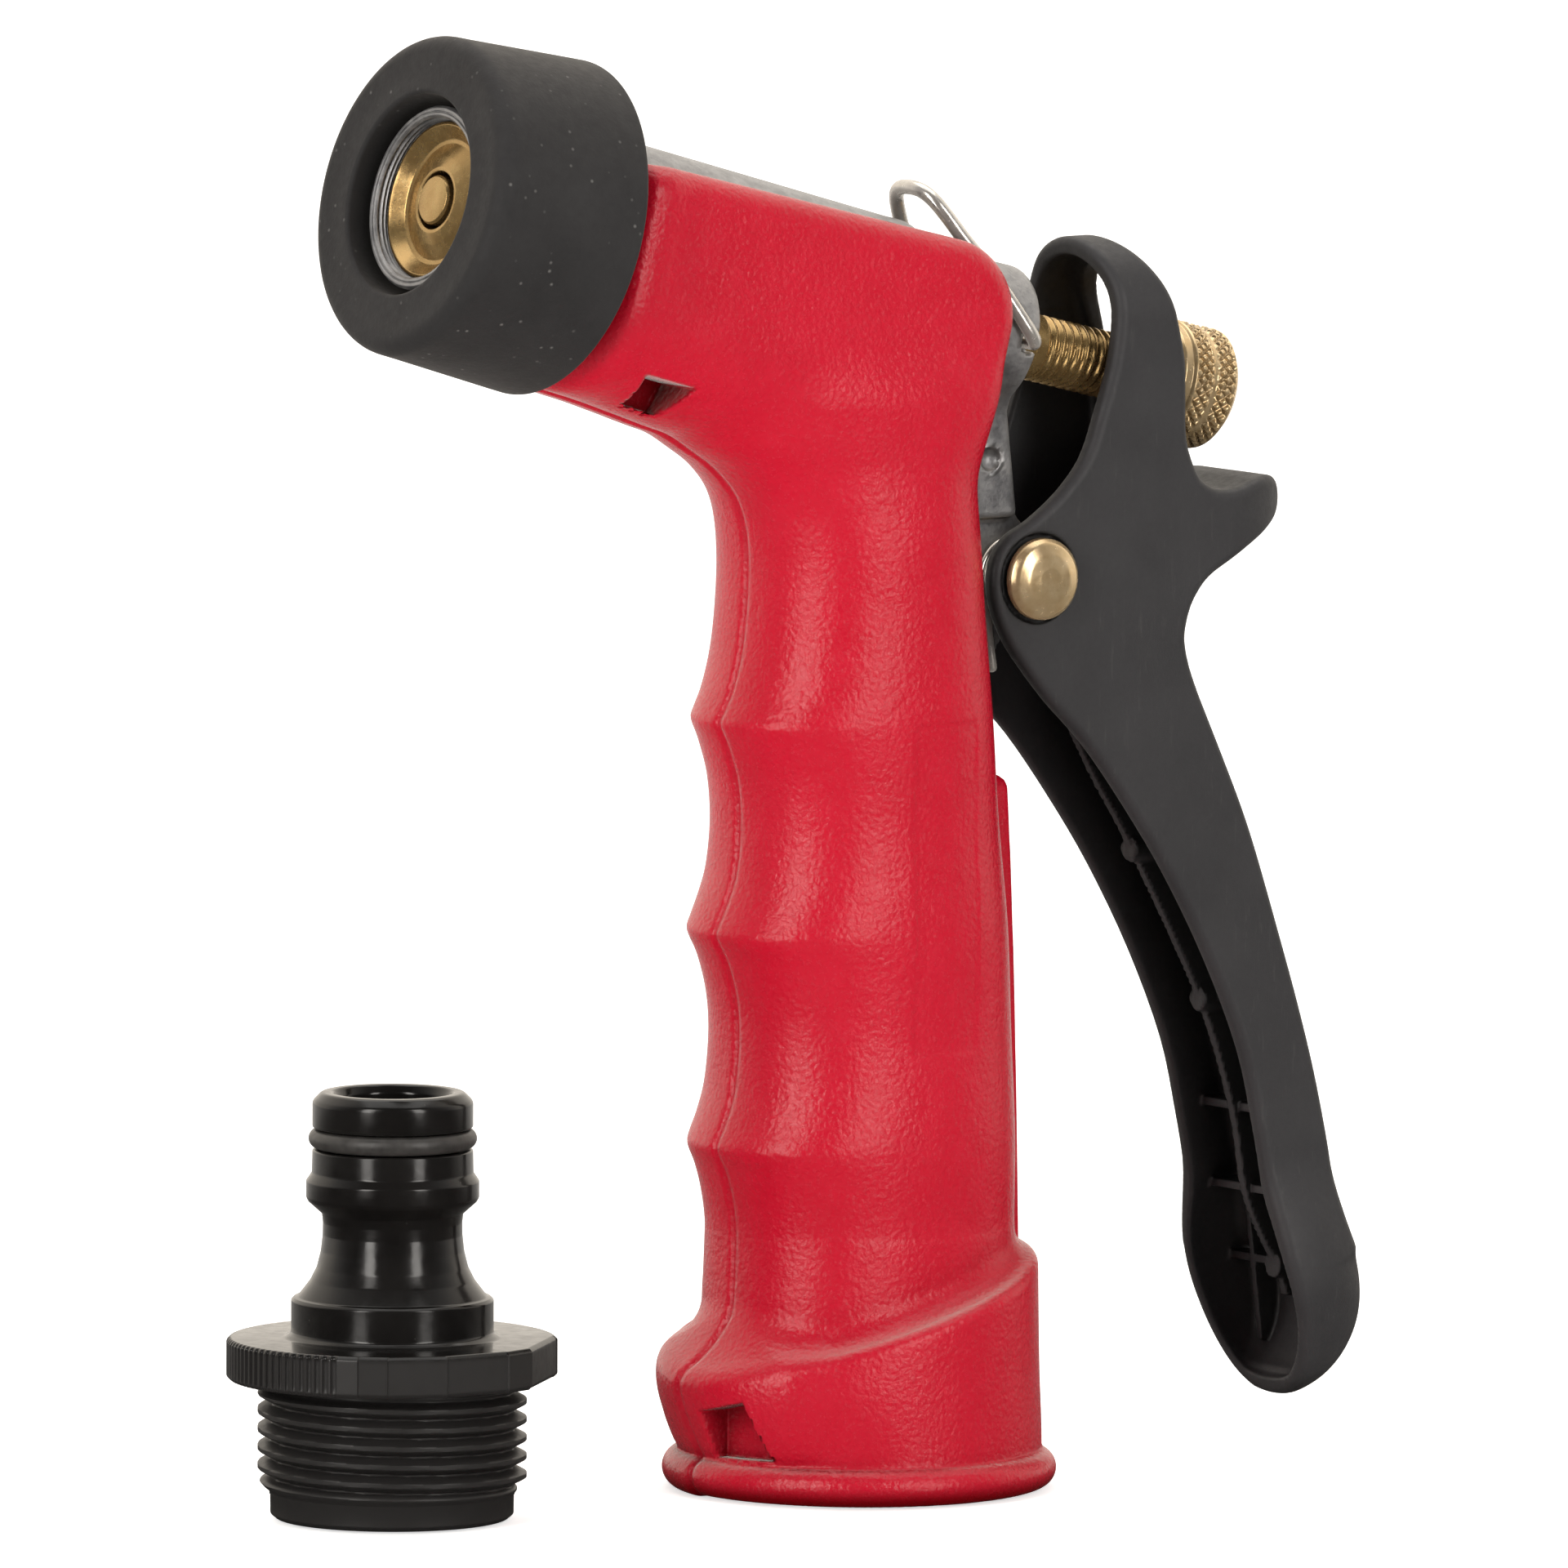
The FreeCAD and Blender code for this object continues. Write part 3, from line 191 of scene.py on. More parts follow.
def sample_field(field, low, step, blocks, block):
    """Grid values, worked out in full only in blocks near the surface."""
    centres = [low[a] + (np.arange(blocks[a]) + 0.5) * block * step for a in range(3)]
    coarse = field(*[c.astype(f32) for c in np.meshgrid(*centres, indexing="ij")])
    # half a block's diagonal, with a margin for fields that are not exact
    reach = 0.5 * block * step * 1.7321 * 1.3 + 0.6
    active = np.argwhere(np.abs(coarse) < reach)
    for axis in range(3):
        coarse = np.repeat(coarse, block, axis)
    values = np.full(blocks * block + 1, 9.0, f32)
    values[:-1, :-1, :-1] = coarse
    offsets = np.arange(block + 1)
    for start in range(0, len(active), 1500):
        batch = active[start:start + 1500]
        i, j, k = [batch[:, a, None] * block + offsets for a in range(3)]
        index = (i[:, :, None, None], j[:, None, :, None], k[:, None, None, :])
        shape = (len(batch),) + (block + 1,) * 3
        values[index] = field(*[np.broadcast_to(low[a] + index[a] * step, shape).astype(f32)
                                for a in range(3)])
    return values


def columns(points):
    return [points[:, axis].astype(f32) for axis in range(3)]


def gradient(field, points, reach):
    x, y, z = columns(points)
    e = f32(reach)
    return np.stack([field(x + e, y, z) - field(x - e, y, z),
                     field(x, y + e, z) - field(x, y - e, z),
                     field(x, y, z + e) - field(x, y, z - e)], 1) / (2 * e)


def surface_cells(values, low, step):
    """Cells the surface crosses: their numbers on the grid and a point in each."""
    inside = values < 0
    size = np.array(values.shape)
    corners = [(a & 1, a >> 1 & 1, a >> 2) for a in range(8)]
    count = np.zeros(size - 1, np.uint8)
    for i, j, k in corners:
        count += inside[i:size[0] - 1 + i, j:size[1] - 1 + j, k:size[2] - 1 + k]
    cells = np.argwhere((count > 0) & (count < 8))
    ids = np.full(size - 1, -1, np.int32)
    ids[tuple(cells.T)] = np.arange(len(cells))
    at_corner = [values[tuple((cells + corner).T)] for corner in corners]
    total = np.zeros((len(cells), 3))
    crossings = np.zeros(len(cells))
    for a in range(8):
        for b in (a | 1, a | 2, a | 4):
            if a == b:
                continue
            va, vb = at_corner[a], at_corner[b]
            crosses = (va < 0) != (vb < 0)
            t = np.where(crosses, va / np.where(crosses, va - vb, 1), 0)
            pa = np.array(corners[a], float)
            pb = np.array(corners[b], float)
            total += np.where(crosses[:, None], pa + t[:, None] * (pb - pa), 0)
            crossings += crosses
    return ids, low + (cells + total / crossings[:, None]) * step


def surface_quads(inside, ids):
    """One quad round every grid edge that crosses the surface."""
    size = inside.shape
    quads = []
    for axis in range(3):
        o1, o2 = (axis + 1) % 3, (axis + 2) % 3
        edges = np.argwhere(np.diff(inside, axis=axis))
        edges = edges[(edges[:, o1] > 0) & (edges[:, o2] > 0)
                      & (edges[:, o1] < size[o1] - 1) & (edges[:, o2] < size[o2] - 1)]
        quad = []
        for d1, d2 in ((-1, -1), (0, -1), (0, 0), (-1, 0)):
            cell = edges.copy()
            cell[:, o1] += d1
            cell[:, o2] += d2
            quad.append(ids[tuple(cell.T)])
        quad = np.stack(quad, 1)
        flip = ~inside[tuple(edges.T)]
        quad[flip] = quad[flip][:, ::-1]
        quads.append(quad)
    return np.concatenate(quads)


def field_mesh(field, low, high, step, block=8):
    """Closed quad surface of field = 0: a dual mesh on a sparse grid, whose
    points are then walked onto the surface.  Gives points, quads, normals."""
    low = np.array(low, float)
    blocks = np.ceil((np.array(high, float) - low) / (step * block)).astype(int)
    values = sample_field(field, low, step, blocks, block)
    ids, points = surface_cells(values, low, step)
    for _ in range(2):
        distance = field(*columns(points))
        g = gradient(field, points, 0.12)
        move = distance[:, None] * g / np.maximum((g * g).sum(1), 0.2)[:, None]
        length = np.linalg.norm(move, axis=1)
        move *= np.minimum(1, 0.45 * step / np.maximum(length, 1e-9))[:, None]
        points = points - move
    g = gradient(field, points, max(0.12, 0.35 * step))
    normals = g / np.maximum(np.linalg.norm(g, axis=1), 1e-9)[:, None]
    return points, surface_quads(values < 0, ids), normals


# --------------------------------------------------------------- object kit
def make_object(name, points, faces, slot, body=None, node=None, finish=None,
                normals=None, sharp=None):
    """Smooth-shaded object.  Points are in millimetres, faces an array or a
    list of lists, sharp the angle in degrees above which edges stay hard.
    The material is finish, or else the slot's own.  Without given normals
    the faces are made to look outwards."""
    mesh = bpy.data.meshes.new(name)
    if isinstance(faces, np.ndarray):
        points = np.asarray(points, f32) * f32(MM)
        mesh.vertices.add(len(points))
        mesh.vertices.foreach_set("co", points.ravel())
        mesh.loops.add(faces.size)
        mesh.polygons.add(len(faces))
        mesh.loops.foreach_set("vertex_index", faces.astype(np.int32).ravel())
        starts = np.arange(0, faces.size, faces.shape[1], dtype=np.int32)
        mesh.polygons.foreach_set("loop_start", starts)
        mesh.update(calc_edges=True)
    else:
        mesh.from_pydata((np.asarray(points, float) * MM).tolist(), [], faces)
    mesh.validate(clean_customdata=False)
    mesh.polygons.foreach_set("use_smooth", np.full(len(mesh.polygons), True))
    ob = bpy.data.objects.new(name, mesh)
    scene.collection.objects.link(ob)
    mesh.materials.append(MATERIALS[finish or slot])
    if normals is None:
        bm = bmesh.new()
        bm.from_mesh(mesh)
        if sharp is not None:
            limit = math.radians(sharp)
            for e in bm.edges:
                e.smooth = not (len(e.link_faces) == 2 and e.calc_face_angle(0.0) > limit)
        bmesh.ops.recalc_face_normals(bm, faces=bm.faces)
        bm.to_mesh(mesh)
        bm.free()
    else:
        mesh.normals_split_custom_set_from_vertices([tuple(v) for v in normals.astype(float)])
    if body:
        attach(ob, body)
    if node:
        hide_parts(node)
    return ob


def make_field_object(name, field, low, high, step, slot, body, node):
    points, faces, normals = field_mesh(field, low, high, step)
    return make_object(name, points, faces, slot, body, node, normals=normals)


def rounded(corners, steps=5):
    """Profile of (r, z) or (r, z, fillet) corners with the arcs put in."""
    out = []
    for i, (r, z, *fillet) in enumerate(corners):
        if not fillet:
            out.append((r, z))
            continue
        here = Vector((r, z))
        a = Vector(corners[i - 1][:2]) - here
        b = Vector(corners[(i + 1) % len(corners)][:2]) - here
        length_a, length_b = a.length, b.length
        a /= length_a
        b /= length_b
        angle = a.angle(b)
        if angle > math.pi - 0.03:
            out.append((r, z))
            continue
        trim = min(fillet[0] / math.tan(angle / 2), 0.48 * length_a, 0.48 * length_b)
        radius = trim * math.tan(angle / 2)
        first = here + a * trim
        last = here + b * trim
        mid = here + (a + b).normalized() * (radius / math.sin(angle / 2))
        start = math.atan2(first.y - mid.y, first.x - mid.x)
        end = math.atan2(last.y - mid.y, last.x - mid.x)
        sweep = (end - start + math.pi) % TURN - math.pi
        for k in range(steps + 1):
            t = start + sweep * k / steps
            out.append((mid.x + radius * math.cos(t), mid.y + radius * math.sin(t)))
    return out


def fine(profile, step):
    """Split the long spans of a closed profile."""
    out = []
    for i in range(len(profile)):
        a = Vector(profile[i])
        b = Vector(profile[(i + 1) % len(profile)])
        k = max(1, int(math.ceil((b - a).length / step)))
        for j in range(k):
            out.append(tuple(a + (b - a) * (j / k)))
    return out


def straight(r, start, stop, step):
    """Profile points at one radius from start on, ending short of stop."""
    out = []
    z = start
    while (stop - z) * step > 0:
        out.append((r, z))
        z += step
    return out


def lathe(profile, seg, closed=True, radial=None):
    """Revolve (r, z) points about +Z.  A closed profile gives a ring, an open
    one runs from pole to pole.  radial(r, z, theta) may change r."""
    profile = np.array(profile, float)
    n = len(profile)
    theta = np.linspace(0, TURN, seg, endpoint=False)
    r = np.repeat(profile[:, 0][:, None], seg, 1)
    z = np.repeat(profile[:, 1][:, None], seg, 1)
    t = np.repeat(theta[None, :], n, 0)
    if radial is not None:
        r = radial(r, z, t)
    points = np.stack([r * np.cos(t), r * np.sin(t), z], 2).reshape(-1, 3)
    i, j = np.meshgrid(np.arange(n if closed else n - 1), np.arange(seg), indexing="ij")
    i2 = (i + 1) % n
    j2 = (j + 1) % seg
    quads = np.stack([i * seg + j, i * seg + j2, i2 * seg + j2, i2 * seg + j], 2).reshape(-1, 4)
    return (points, quads) if closed else merge_poles(points, quads)


def merge_poles(points, quads):
    """Weld the points that sit on the axis and drop the collapsed faces."""
    radius = np.hypot(points[:, 0], points[:, 1])
    poles = {}
    remap = np.arange(len(points))
    for i in np.nonzero(radius < 1e-5)[0]:
        remap[i] = poles.setdefault(round(points[i, 2], 4), i)
    faces = []
    for quad in remap[quads].tolist():
        face = list(dict.fromkeys(quad))
        if len(face) > 2:
            faces.append(face)
    used = sorted({v for face in faces for v in face})
    new = {v: k for k, v in enumerate(used)}
    return points[used], [[new[v] for v in face] for face in faces]


def to_barrel(points):
    """Points drawn about +Z go onto the barrel axis: z forwards, y up."""
    x, up, along = np.asarray(points, float).T
    y = up * SIN_TILT - along * COS_TILT
    z = BARREL_Z + up * COS_TILT + along * SIN_TILT
    return np.stack([-x, y, z], 1)


def to_pivot(points, sign):
    """Points drawn about +Z go onto the pivot axis, z towards sign * X."""
    x, y, z = points.T
    return np.stack([sign * z, PIVOT_Y + x, PIVOT_Z + sign * y], 1)


def tube(points, radius, seg):
    """Wire of round section along a smooth chain of points, domed ends."""
    p = np.asarray(points, float)
    tangents = np.gradient(p, axis=0)
    tangents /= np.linalg.norm(tangents, axis=1)[:, None]
    normal = np.cross(tangents[0], [0.3, 0.5, 0.8])
    normal /= np.linalg.norm(normal)
    frames = []
    for tangent in tangents:
        normal = normal - tangent * np.dot(normal, tangent)
        normal /= np.linalg.norm(normal)
        frames.append((normal, np.cross(tangent, normal)))

    def dome(end, way, k):
        """Ring of an end dome, k being how far it is from the tip."""
        centre = p[end] + way * tangents[end] * radius * (1 - k)
        return centre, radius * math.sqrt(1 - (1 - k) ** 2), frames[end]

    rings = [dome(0, -1, k) for k in (0.15, 0.5, 0.85)]
    rings += [(centre, radius, axes) for centre, axes in zip(p, frames)]
    rings += [dome(-1, 1, k) for k in (0.85, 0.5, 0.15)]
    out = []
    for centre, r, (a, b) in rings:
        for j in range(seg):
            t = TURN * j / seg
            out.append(centre + r * (math.cos(t) * a + math.sin(t) * b))
    faces = []
    last = (len(rings) - 1) * seg
    for i in range(0, last, seg):
        for j in range(seg):
            k = (j + 1) % seg
            faces.append([i + j, i + k, i + seg + k, i + seg + j])
    tip = len(out)
    out += [p[0] - tangents[0] * radius, p[-1] + tangents[-1] * radius]
    for j in range(seg):
        k = (j + 1) % seg
        faces.append([k, j, tip])
        faces.append([last + j, last + k, tip + 1])
    return np.array(out), faces


# ------------------------------------------------------------- material kit
def feed(tree, socket, value):
    """Link a socket to another's output, or set its value."""
    if hasattr(value, "is_output"):
        tree.links.new(value, socket)
    elif socket.type == "RGBA":
        socket.default_value = (*value[:3], 1)
    else:
        socket.default_value = value


def add_node(tree, kind, inputs, **settings):
    """New shader node; inputs maps names or numbers to values or sockets."""
    node = tree.nodes.new("ShaderNode" + kind)
    for key, value in settings.items():
        setattr(node, key, value)
    for key, value in inputs.items():
        feed(tree, node.inputs[key], value)
    return node


def map_range(tree, value, source=(0.0, 1.0), target=(0.0, 1.0), **settings):
    inputs = dict(enumerate((value, *source, *target)))
    return add_node(tree, "MapRange", inputs, **settings).outputs[0]


def mix_colours(tree, amount, under, over):
    inputs = {0: amount, 6: under, 7: over}
    return add_node(tree, "Mix", inputs, data_type="RGBA").outputs[2]


class Shader:
    """A principled material written from a few calls, textures in mm."""

    def __init__(self, name):
        self.material = bpy.data.materials.new(name)
        self.material.use_nodes = True
        self.tree = self.material.node_tree
        self.tree.nodes.clear()
        output = self.add("OutputMaterial", {})
        self.surface = self.add("BsdfPrincipled", {})
        self.tree.links.new(self.surface.outputs[0], output.inputs[0])
        coords = self.add("TexCoord", {}).outputs["Object"]
        self.place = self.mapped(coords, scale=(1000, 1000, 1000))
        self.normal = None

    def add(self, kind, inputs, **settings):
        return add_node(self.tree, kind, inputs, **settings)

    def put(self, name, value):
        feed(self.tree, self.surface.inputs[name], value)

    def mapped(self, vector, scale, turn=(0, 0, 0)):
        inputs = {"Scale": scale, "Rotation": turn, "Vector": vector}
        return self.add("Mapping", inputs).outputs["Vector"]

    def noise(self, scale, detail, rough, vector=None):
        inputs = {"Scale": scale, "Detail": detail, "Roughness": rough,
                  "Vector": vector or self.place}
        return self.add("TexNoise", inputs).outputs["Fac"]

    def voronoi(self, scale, feature="F1"):
        inputs = {"Scale": scale, "Vector": self.place}
        return self.add("TexVoronoi", inputs, feature=feature).outputs["Distance"]

    def ramp(self, value, at, to=(0.0, 1.0), interp="LINEAR"):
        """Grey ramp that goes through the two values to at the places at."""
        node = self.add("ValToRGB", {"Fac": value})
        node.color_ramp.interpolation = interp
        for stop, place, grey in zip(node.color_ramp.elements, at, to):
            stop.position = place
            stop.color = (grey, grey, grey, 1)
        return node.outputs["Color"]

    def specks(self, scale, size):
        """Round spots that fade out at size, in texture cells."""
        return self.ramp(self.voronoi(scale), at=(0.0, size), to=(1.0, 0.0), interp="EASE")

    def math(self, operation, a, b):
        return self.add("Math", {0: a, 1: b}, operation=operation).outputs[0]

    def two_tone(self, value, at, dark, light):
        """Colour that goes from dark to light as value crosses at."""
        return mix_colours(self.tree, self.ramp(value, at), dark, light)

    def tint(self, under, over, mask, amount):
        """Lay the colour over on under, by mask times amount."""
        return mix_colours(self.tree, self.math("MULTIPLY", mask, amount), under, over)

    def shade(self, colour, painted_shade_colour, reach, strength=1.0):
        """Painted shade: darken the colour in recesses whose walls stand within reach, in metres.
        """
        node = self.add("AmbientOcclusion", {"Distance": reach}, samples=5)
        self.painted_shade_mask = self.ramp(node.outputs["AO"], at=(0.30, 0.86), to=(1.0, 0.0), interp="EASE")
        return self.tint(colour, painted_shade_colour, self.painted_shade_mask, strength)

    def relief(self, height, mm):
        """Add bump of the given depth on top of what is there."""
        inputs = {"Strength": 1.0, "Distance": mm * MM, "Height": height}
        if self.normal:
            inputs["Normal"] = self.normal
        self.normal = self.add("Bump", inputs).outputs[0]
        self.put("Normal", self.normal)


def red_cover():
    m = Shader("red_cover")
    tone = m.noise(scale=0.05, detail=3, rough=0.55)
    patch = m.noise(scale=0.35, detail=4, rough=0.6)
    colour = m.two_tone(tone, at=(0.3, 0.7), dark=(0.475, 0.0032, 0.0190),
                        light=(0.520, 0.0046, 0.0235))
    colour = m.tint(colour, over=(0.555, 0.010, 0.033), mask=m.ramp(patch, at=(0.45, 0.75)),
                    amount=0.35)
    # a few pale dust specks caught in the grain
    colour = m.tint(colour, over=(0.70, 0.20, 0.22), mask=m.specks(scale=0.23, size=0.035),
                    amount=0.35)
    # painted shade: the colour goes dark red in recesses such as the windows and the gap by the
    # bumper
    m.put("Base Color", m.shade(colour, painted_shade_colour=(0.14, 0.001, 0.003), reach=0.0055))
    grain = m.noise(scale=1.9, detail=4, rough=0.62)
    pits = m.voronoi(scale=1.9, feature="SMOOTH_F1")
    m.put("Roughness", m.ramp(grain, at=(0.3, 0.7), to=(0.20, 0.30)))
    # full reflection in the open is 0.40, and recesses lose it by the same painted shade mask
    open_area = m.math("SUBTRACT", 1.03, m.painted_shade_mask)
    m.put("Specular IOR Level", m.math("MULTIPLY", open_area, 0.40))
    m.put("Subsurface Weight", 0.04)
    m.put("Subsurface Radius", (0.003, 0.0008, 0.0006))
    m.relief(m.noise(scale=0.22, detail=2, rough=0.5), mm=0.09)
    m.relief(grain, mm=0.105)
    m.relief(pits, mm=0.06)
    return m.material


def black_rubber():
    m = Shader("black_rubber")
    tone = m.noise(scale=0.12, detail=4, rough=0.6)
    colour = m.two_tone(tone, at=(0.3, 0.75), dark=(0.018, 0.0172, 0.0182),
                        light=(0.025, 0.024, 0.025))
    # coarse and fine dust, each gathered in patches
    patch = m.ramp(m.noise(scale=0.16, detail=2, rough=0.5), at=(0.40, 0.58))
    coarse = m.math("MULTIPLY", m.specks(scale=0.62, size=0.16), patch)
    patch = m.ramp(m.noise(scale=0.3, detail=3, rough=0.6), at=(0.5, 0.7))
    small = m.math("MULTIPLY", m.specks(scale=1.7, size=0.12), patch)
    small = m.math("MULTIPLY", small, 0.5)
    colour = m.tint(colour, over=(0.16, 0.155, 0.15), mask=coarse, amount=0.75)
    colour = m.tint(colour, over=(0.13, 0.127, 0.122), mask=small, amount=0.55)
    # painted shade: the colour goes darker still in the bore and other recesses
    m.put("Base Color", m.shade(colour, painted_shade_colour=(0.006, 0.0055, 0.0055), reach=0.006))
    polish = m.noise(scale=0.9, detail=4, rough=0.6)
    m.put("Roughness", m.ramp(polish, at=(0.3, 0.7), to=(0.62, 0.76)))
    m.put("Specular IOR Level", 0.30)
    m.put("Sheen Weight", 0.10)
    m.put("Sheen Roughness", 0.45)
    m.put("Sheen Tint", (0.85, 0.80, 0.74))
    m.relief(m.noise(scale=2.4, detail=4, rough=0.6), mm=0.030)
    m.relief(m.noise(scale=0.35, detail=2, rough=0.5), mm=0.05)
    return m.material


def lever_black():
    m = Shader("lever_black")
    tone = m.noise(scale=0.10, detail=4, rough=0.6)
    colour = m.two_tone(tone, at=(0.3, 0.75), dark=(0.026, 0.0253, 0.0278),
                        light=(0.034, 0.0333, 0.036))
    # scuffs drawn out along the handle
    drawn = m.mapped(m.place, scale=(1, 1, 0.12), turn=(0.45, 0, 0))
    scuff = m.noise(scale=1.6, detail=4, rough=0.7, vector=drawn)
    colour = m.tint(colour, over=(0.085, 0.082, 0.080), mask=m.ramp(scuff, at=(0.60, 0.78)),
                    amount=0.35)
    colour = m.tint(colour, over=(0.12, 0.115, 0.11), mask=m.specks(scale=0.8, size=0.06),
                    amount=0.25)
    # painted shade: near black inside the hollow handle and in other recesses
    m.put("Base Color", m.shade(colour, painted_shade_colour=(0.005, 0.0048, 0.0048), reach=0.011))
    polish = m.noise(scale=1.4, detail=4, rough=0.6)
    m.put("Roughness", m.ramp(polish, at=(0.3, 0.7), to=(0.50, 0.64)))
    m.put("Specular IOR Level", 0.46)
    m.relief(m.noise(scale=3.2, detail=4, rough=0.65), mm=0.022)
    m.relief(m.noise(scale=0.3, detail=2, rough=0.5), mm=0.04)
    return m.material


def adapter_black():
    m = Shader("adapter_black")
    tone = m.noise(scale=0.2, detail=3, rough=0.5)
    colour = m.two_tone(tone, at=(0.3, 0.7), dark=(0.0055, 0.0050, 0.0048),
                        light=(0.0095, 0.0088, 0.0084))
    colour = m.tint(colour, over=(0.20, 0.19, 0.18), mask=m.specks(scale=0.45, size=0.05),
                    amount=0.4)
    # paler and duller from the flange down; heights are in units of 40 mm
    height = m.add("SeparateXYZ", {0: m.place}).outputs[2]
    low = m.ramp(m.math("MULTIPLY", height, 0.025), at=(0.432, 0.446), to=(1.0, 0.0))
    m.put("Base Color", mix_colours(m.tree, low, under=colour, over=(0.020, 0.0188, 0.0185)))
    polish = m.noise(scale=0.7, detail=4, rough=0.6)
    gloss = m.ramp(polish, at=(0.3, 0.75), to=(0.13, 0.24))
    m.put("Roughness", m.math("ADD", gloss, m.math("MULTIPLY", low, 0.26)))
    m.put("Specular IOR Level", 0.34)
    m.relief(m.noise(scale=0.28, detail=2, rough=0.5), mm=0.016)
    m.relief(m.noise(scale=2.6, detail=3, rough=0.6), mm=0.003)
    return m.material


def zinc():
    m = Shader("zinc")
    tone = m.noise(scale=0.55, detail=5, rough=0.65)
    grain = m.noise(scale=2.6, detail=4, rough=0.6)
    colour = m.two_tone(tone, at=(0.3, 0.7), dark=(0.235, 0.235, 0.245),
                        light=(0.46, 0.455, 0.455))
    colour = m.tint(colour, over=(0.15, 0.15, 0.158), mask=m.ramp(grain, at=(0.5, 0.75)),
                    amount=0.45)
    # edges worn bright
    wear = m.ramp(m.add("NewGeometry", {}).outputs["Pointiness"], at=(0.505, 0.56))
    m.put("Base Color", m.tint(colour, over=(0.60, 0.59, 0.58), mask=wear, amount=0.6))
    m.put("Metallic", 0.85)
    m.put("Roughness", m.ramp(tone, at=(0.3, 0.7), to=(0.38, 0.58)))
    m.relief(grain, mm=0.035)
    m.relief(m.noise(scale=0.5, detail=3, rough=0.5), mm=0.06)
    return m.material


def brass(name, dark, light, stain, rough, metal):
    m = Shader(name)
    tone = m.noise(scale=0.6, detail=4, rough=0.6)
    colour = m.two_tone(tone, at=(0.3, 0.7), dark=dark, light=light)
    stains = m.ramp(m.noise(scale=1.9, detail=4, rough=0.7), at=(0.55, 0.8))
    colour = m.tint(colour, over=stain, mask=stains, amount=0.3)
    # painted shade: dark brown in the grooves of threads and knurls and in other recesses
    m.put("Base Color", m.shade(colour, painted_shade_colour=(0.10, 0.052, 0.016), reach=0.0016, strength=0.85))
    m.put("Metallic", metal)
    polish = m.noise(scale=1.2, detail=4, rough=0.6)
    m.put("Roughness", m.ramp(polish, at=(0.3, 0.75), to=(rough, rough + 0.12)))
    m.relief(m.noise(scale=3.5, detail=3, rough=0.6), mm=0.003)
    m.relief(m.noise(scale=0.5, detail=2, rough=0.5), mm=0.012)
    return m.material


def spring_steel():
    m = Shader("spring_steel")
    tone = m.noise(scale=0.9, detail=4, rough=0.6)
    m.put("Base Color", m.two_tone(tone, at=(0.3, 0.7), dark=(0.56, 0.535, 0.50),
                                   light=(0.74, 0.71, 0.66)))
    m.put("Metallic", 0.7)
    polish = m.noise(scale=2.5, detail=4, rough=0.6)
    m.put("Roughness", m.ramp(polish, at=(0.3, 0.75), to=(0.16, 0.30)))
    m.relief(m.noise(scale=4.0, detail=3, rough=0.6), mm=0.006)
    return m.material


def seal_rubber():
    m = Shader("seal_rubber")
    tone = m.noise(scale=0.8, detail=4, rough=0.6)
    m.put("Base Color", m.two_tone(tone, at=(0.3, 0.7), dark=(0.022, 0.0205, 0.019),
                                   light=(0.045, 0.042, 0.040)))
    polish = m.noise(scale=1.6, detail=4, rough=0.6)
    m.put("Roughness", m.ramp(polish, at=(0.3, 0.7), to=(0.36, 0.52)))
    m.put("Specular IOR Level", 0.5)
    m.relief(m.noise(scale=2.2, detail=3, rough=0.6), mm=0.02)
    return m.material


def white_plastic():
    m = Shader("white_plastic")
    tone = m.noise(scale=0.7, detail=3, rough=0.5)
    m.put("Base Color", mix_colours(m.tree, tone, under=(0.72, 0.71, 0.67),
                                    over=(0.82, 0.81, 0.78)))
    polish = m.noise(scale=1.5, detail=3, rough=0.5)
    m.put("Roughness", m.ramp(polish, at=(0.3, 0.7), to=(0.4, 0.55)))
    m.relief(m.noise(scale=2.5, detail=3, rough=0.6), mm=0.01)
    return m.material


MATERIALS = {
    "red_cover": red_cover(),
    "black_rubber": black_rubber(),
    "lever_black": lever_black(),
    "adapter_black": adapter_black(),
    "zinc": zinc(),
    "brass": brass("brass", dark=(0.40, 0.25, 0.095), light=(0.52, 0.355, 0.15),
                   stain=(0.26, 0.155, 0.06), rough=0.2, metal=0.78),
    # paler copy of the brass for the nut, the pin head and its cap: painted reflection of the
    # bright surroundings
    "brass_painted_reflection": brass("brass_painted_reflection", dark=(0.62, 0.44, 0.225), light=(0.78, 0.60, 0.36),
                        stain=(0.34, 0.21, 0.085), rough=0.18, metal=0.72),
    "spring_steel": spring_steel(),
    "seal_rubber": seal_rubber(),
    "white_plastic": white_plastic(),
}
MATERIALS["screen_steel"] = MATERIALS["spring_steel"]

# CAD nodes that stay as they are get the same finishes
slot_of = {part["node"]: part["material_slot"] for part in frame["record"]["subparts"]}
for node_name, cad_object in frame["nodes"].items():
    cad_object.data.materials.clear()
    cad_object.data.materials.append(MATERIALS[slot_of[node_name]])


# --------------------------------------------------------------- grip cover
# Grip: (z, y) of the front face with its finger ridges, and of the rear face
GRIP_FRONT = station_curve([
    (4, -15.7), (14, -15.75), (19.5, -15.7), (22, -15.55), (26.5, -15.45), (30.0, -15.95),
    (32.6, -16.75), (34.2, -17.55), (35.0, -17.75), (35.9, -17.45), (38.0, -16.45), (41.0, -15.55),
    (46.0, -15.15), (50.0, -15.5), (53.5, -16.55), (55.6, -17.7), (56.5, -17.95), (57.5, -17.5),
    (59.8, -16.4), (62.5, -15.5), (67.0, -15.05), (71.5, -15.4), (75.0, -16.5), (76.8, -17.35),
    (77.6, -17.55), (78.5, -17.1), (80.6, -16.05), (84.0, -15.05), (88.0, -14.5), (93.0, -14.2),
    (97.0, -14.6), (100.0, -15.7), (103.0, -17.9), (105.5, -20.3), (108, -20.8), (114, -20.8)])
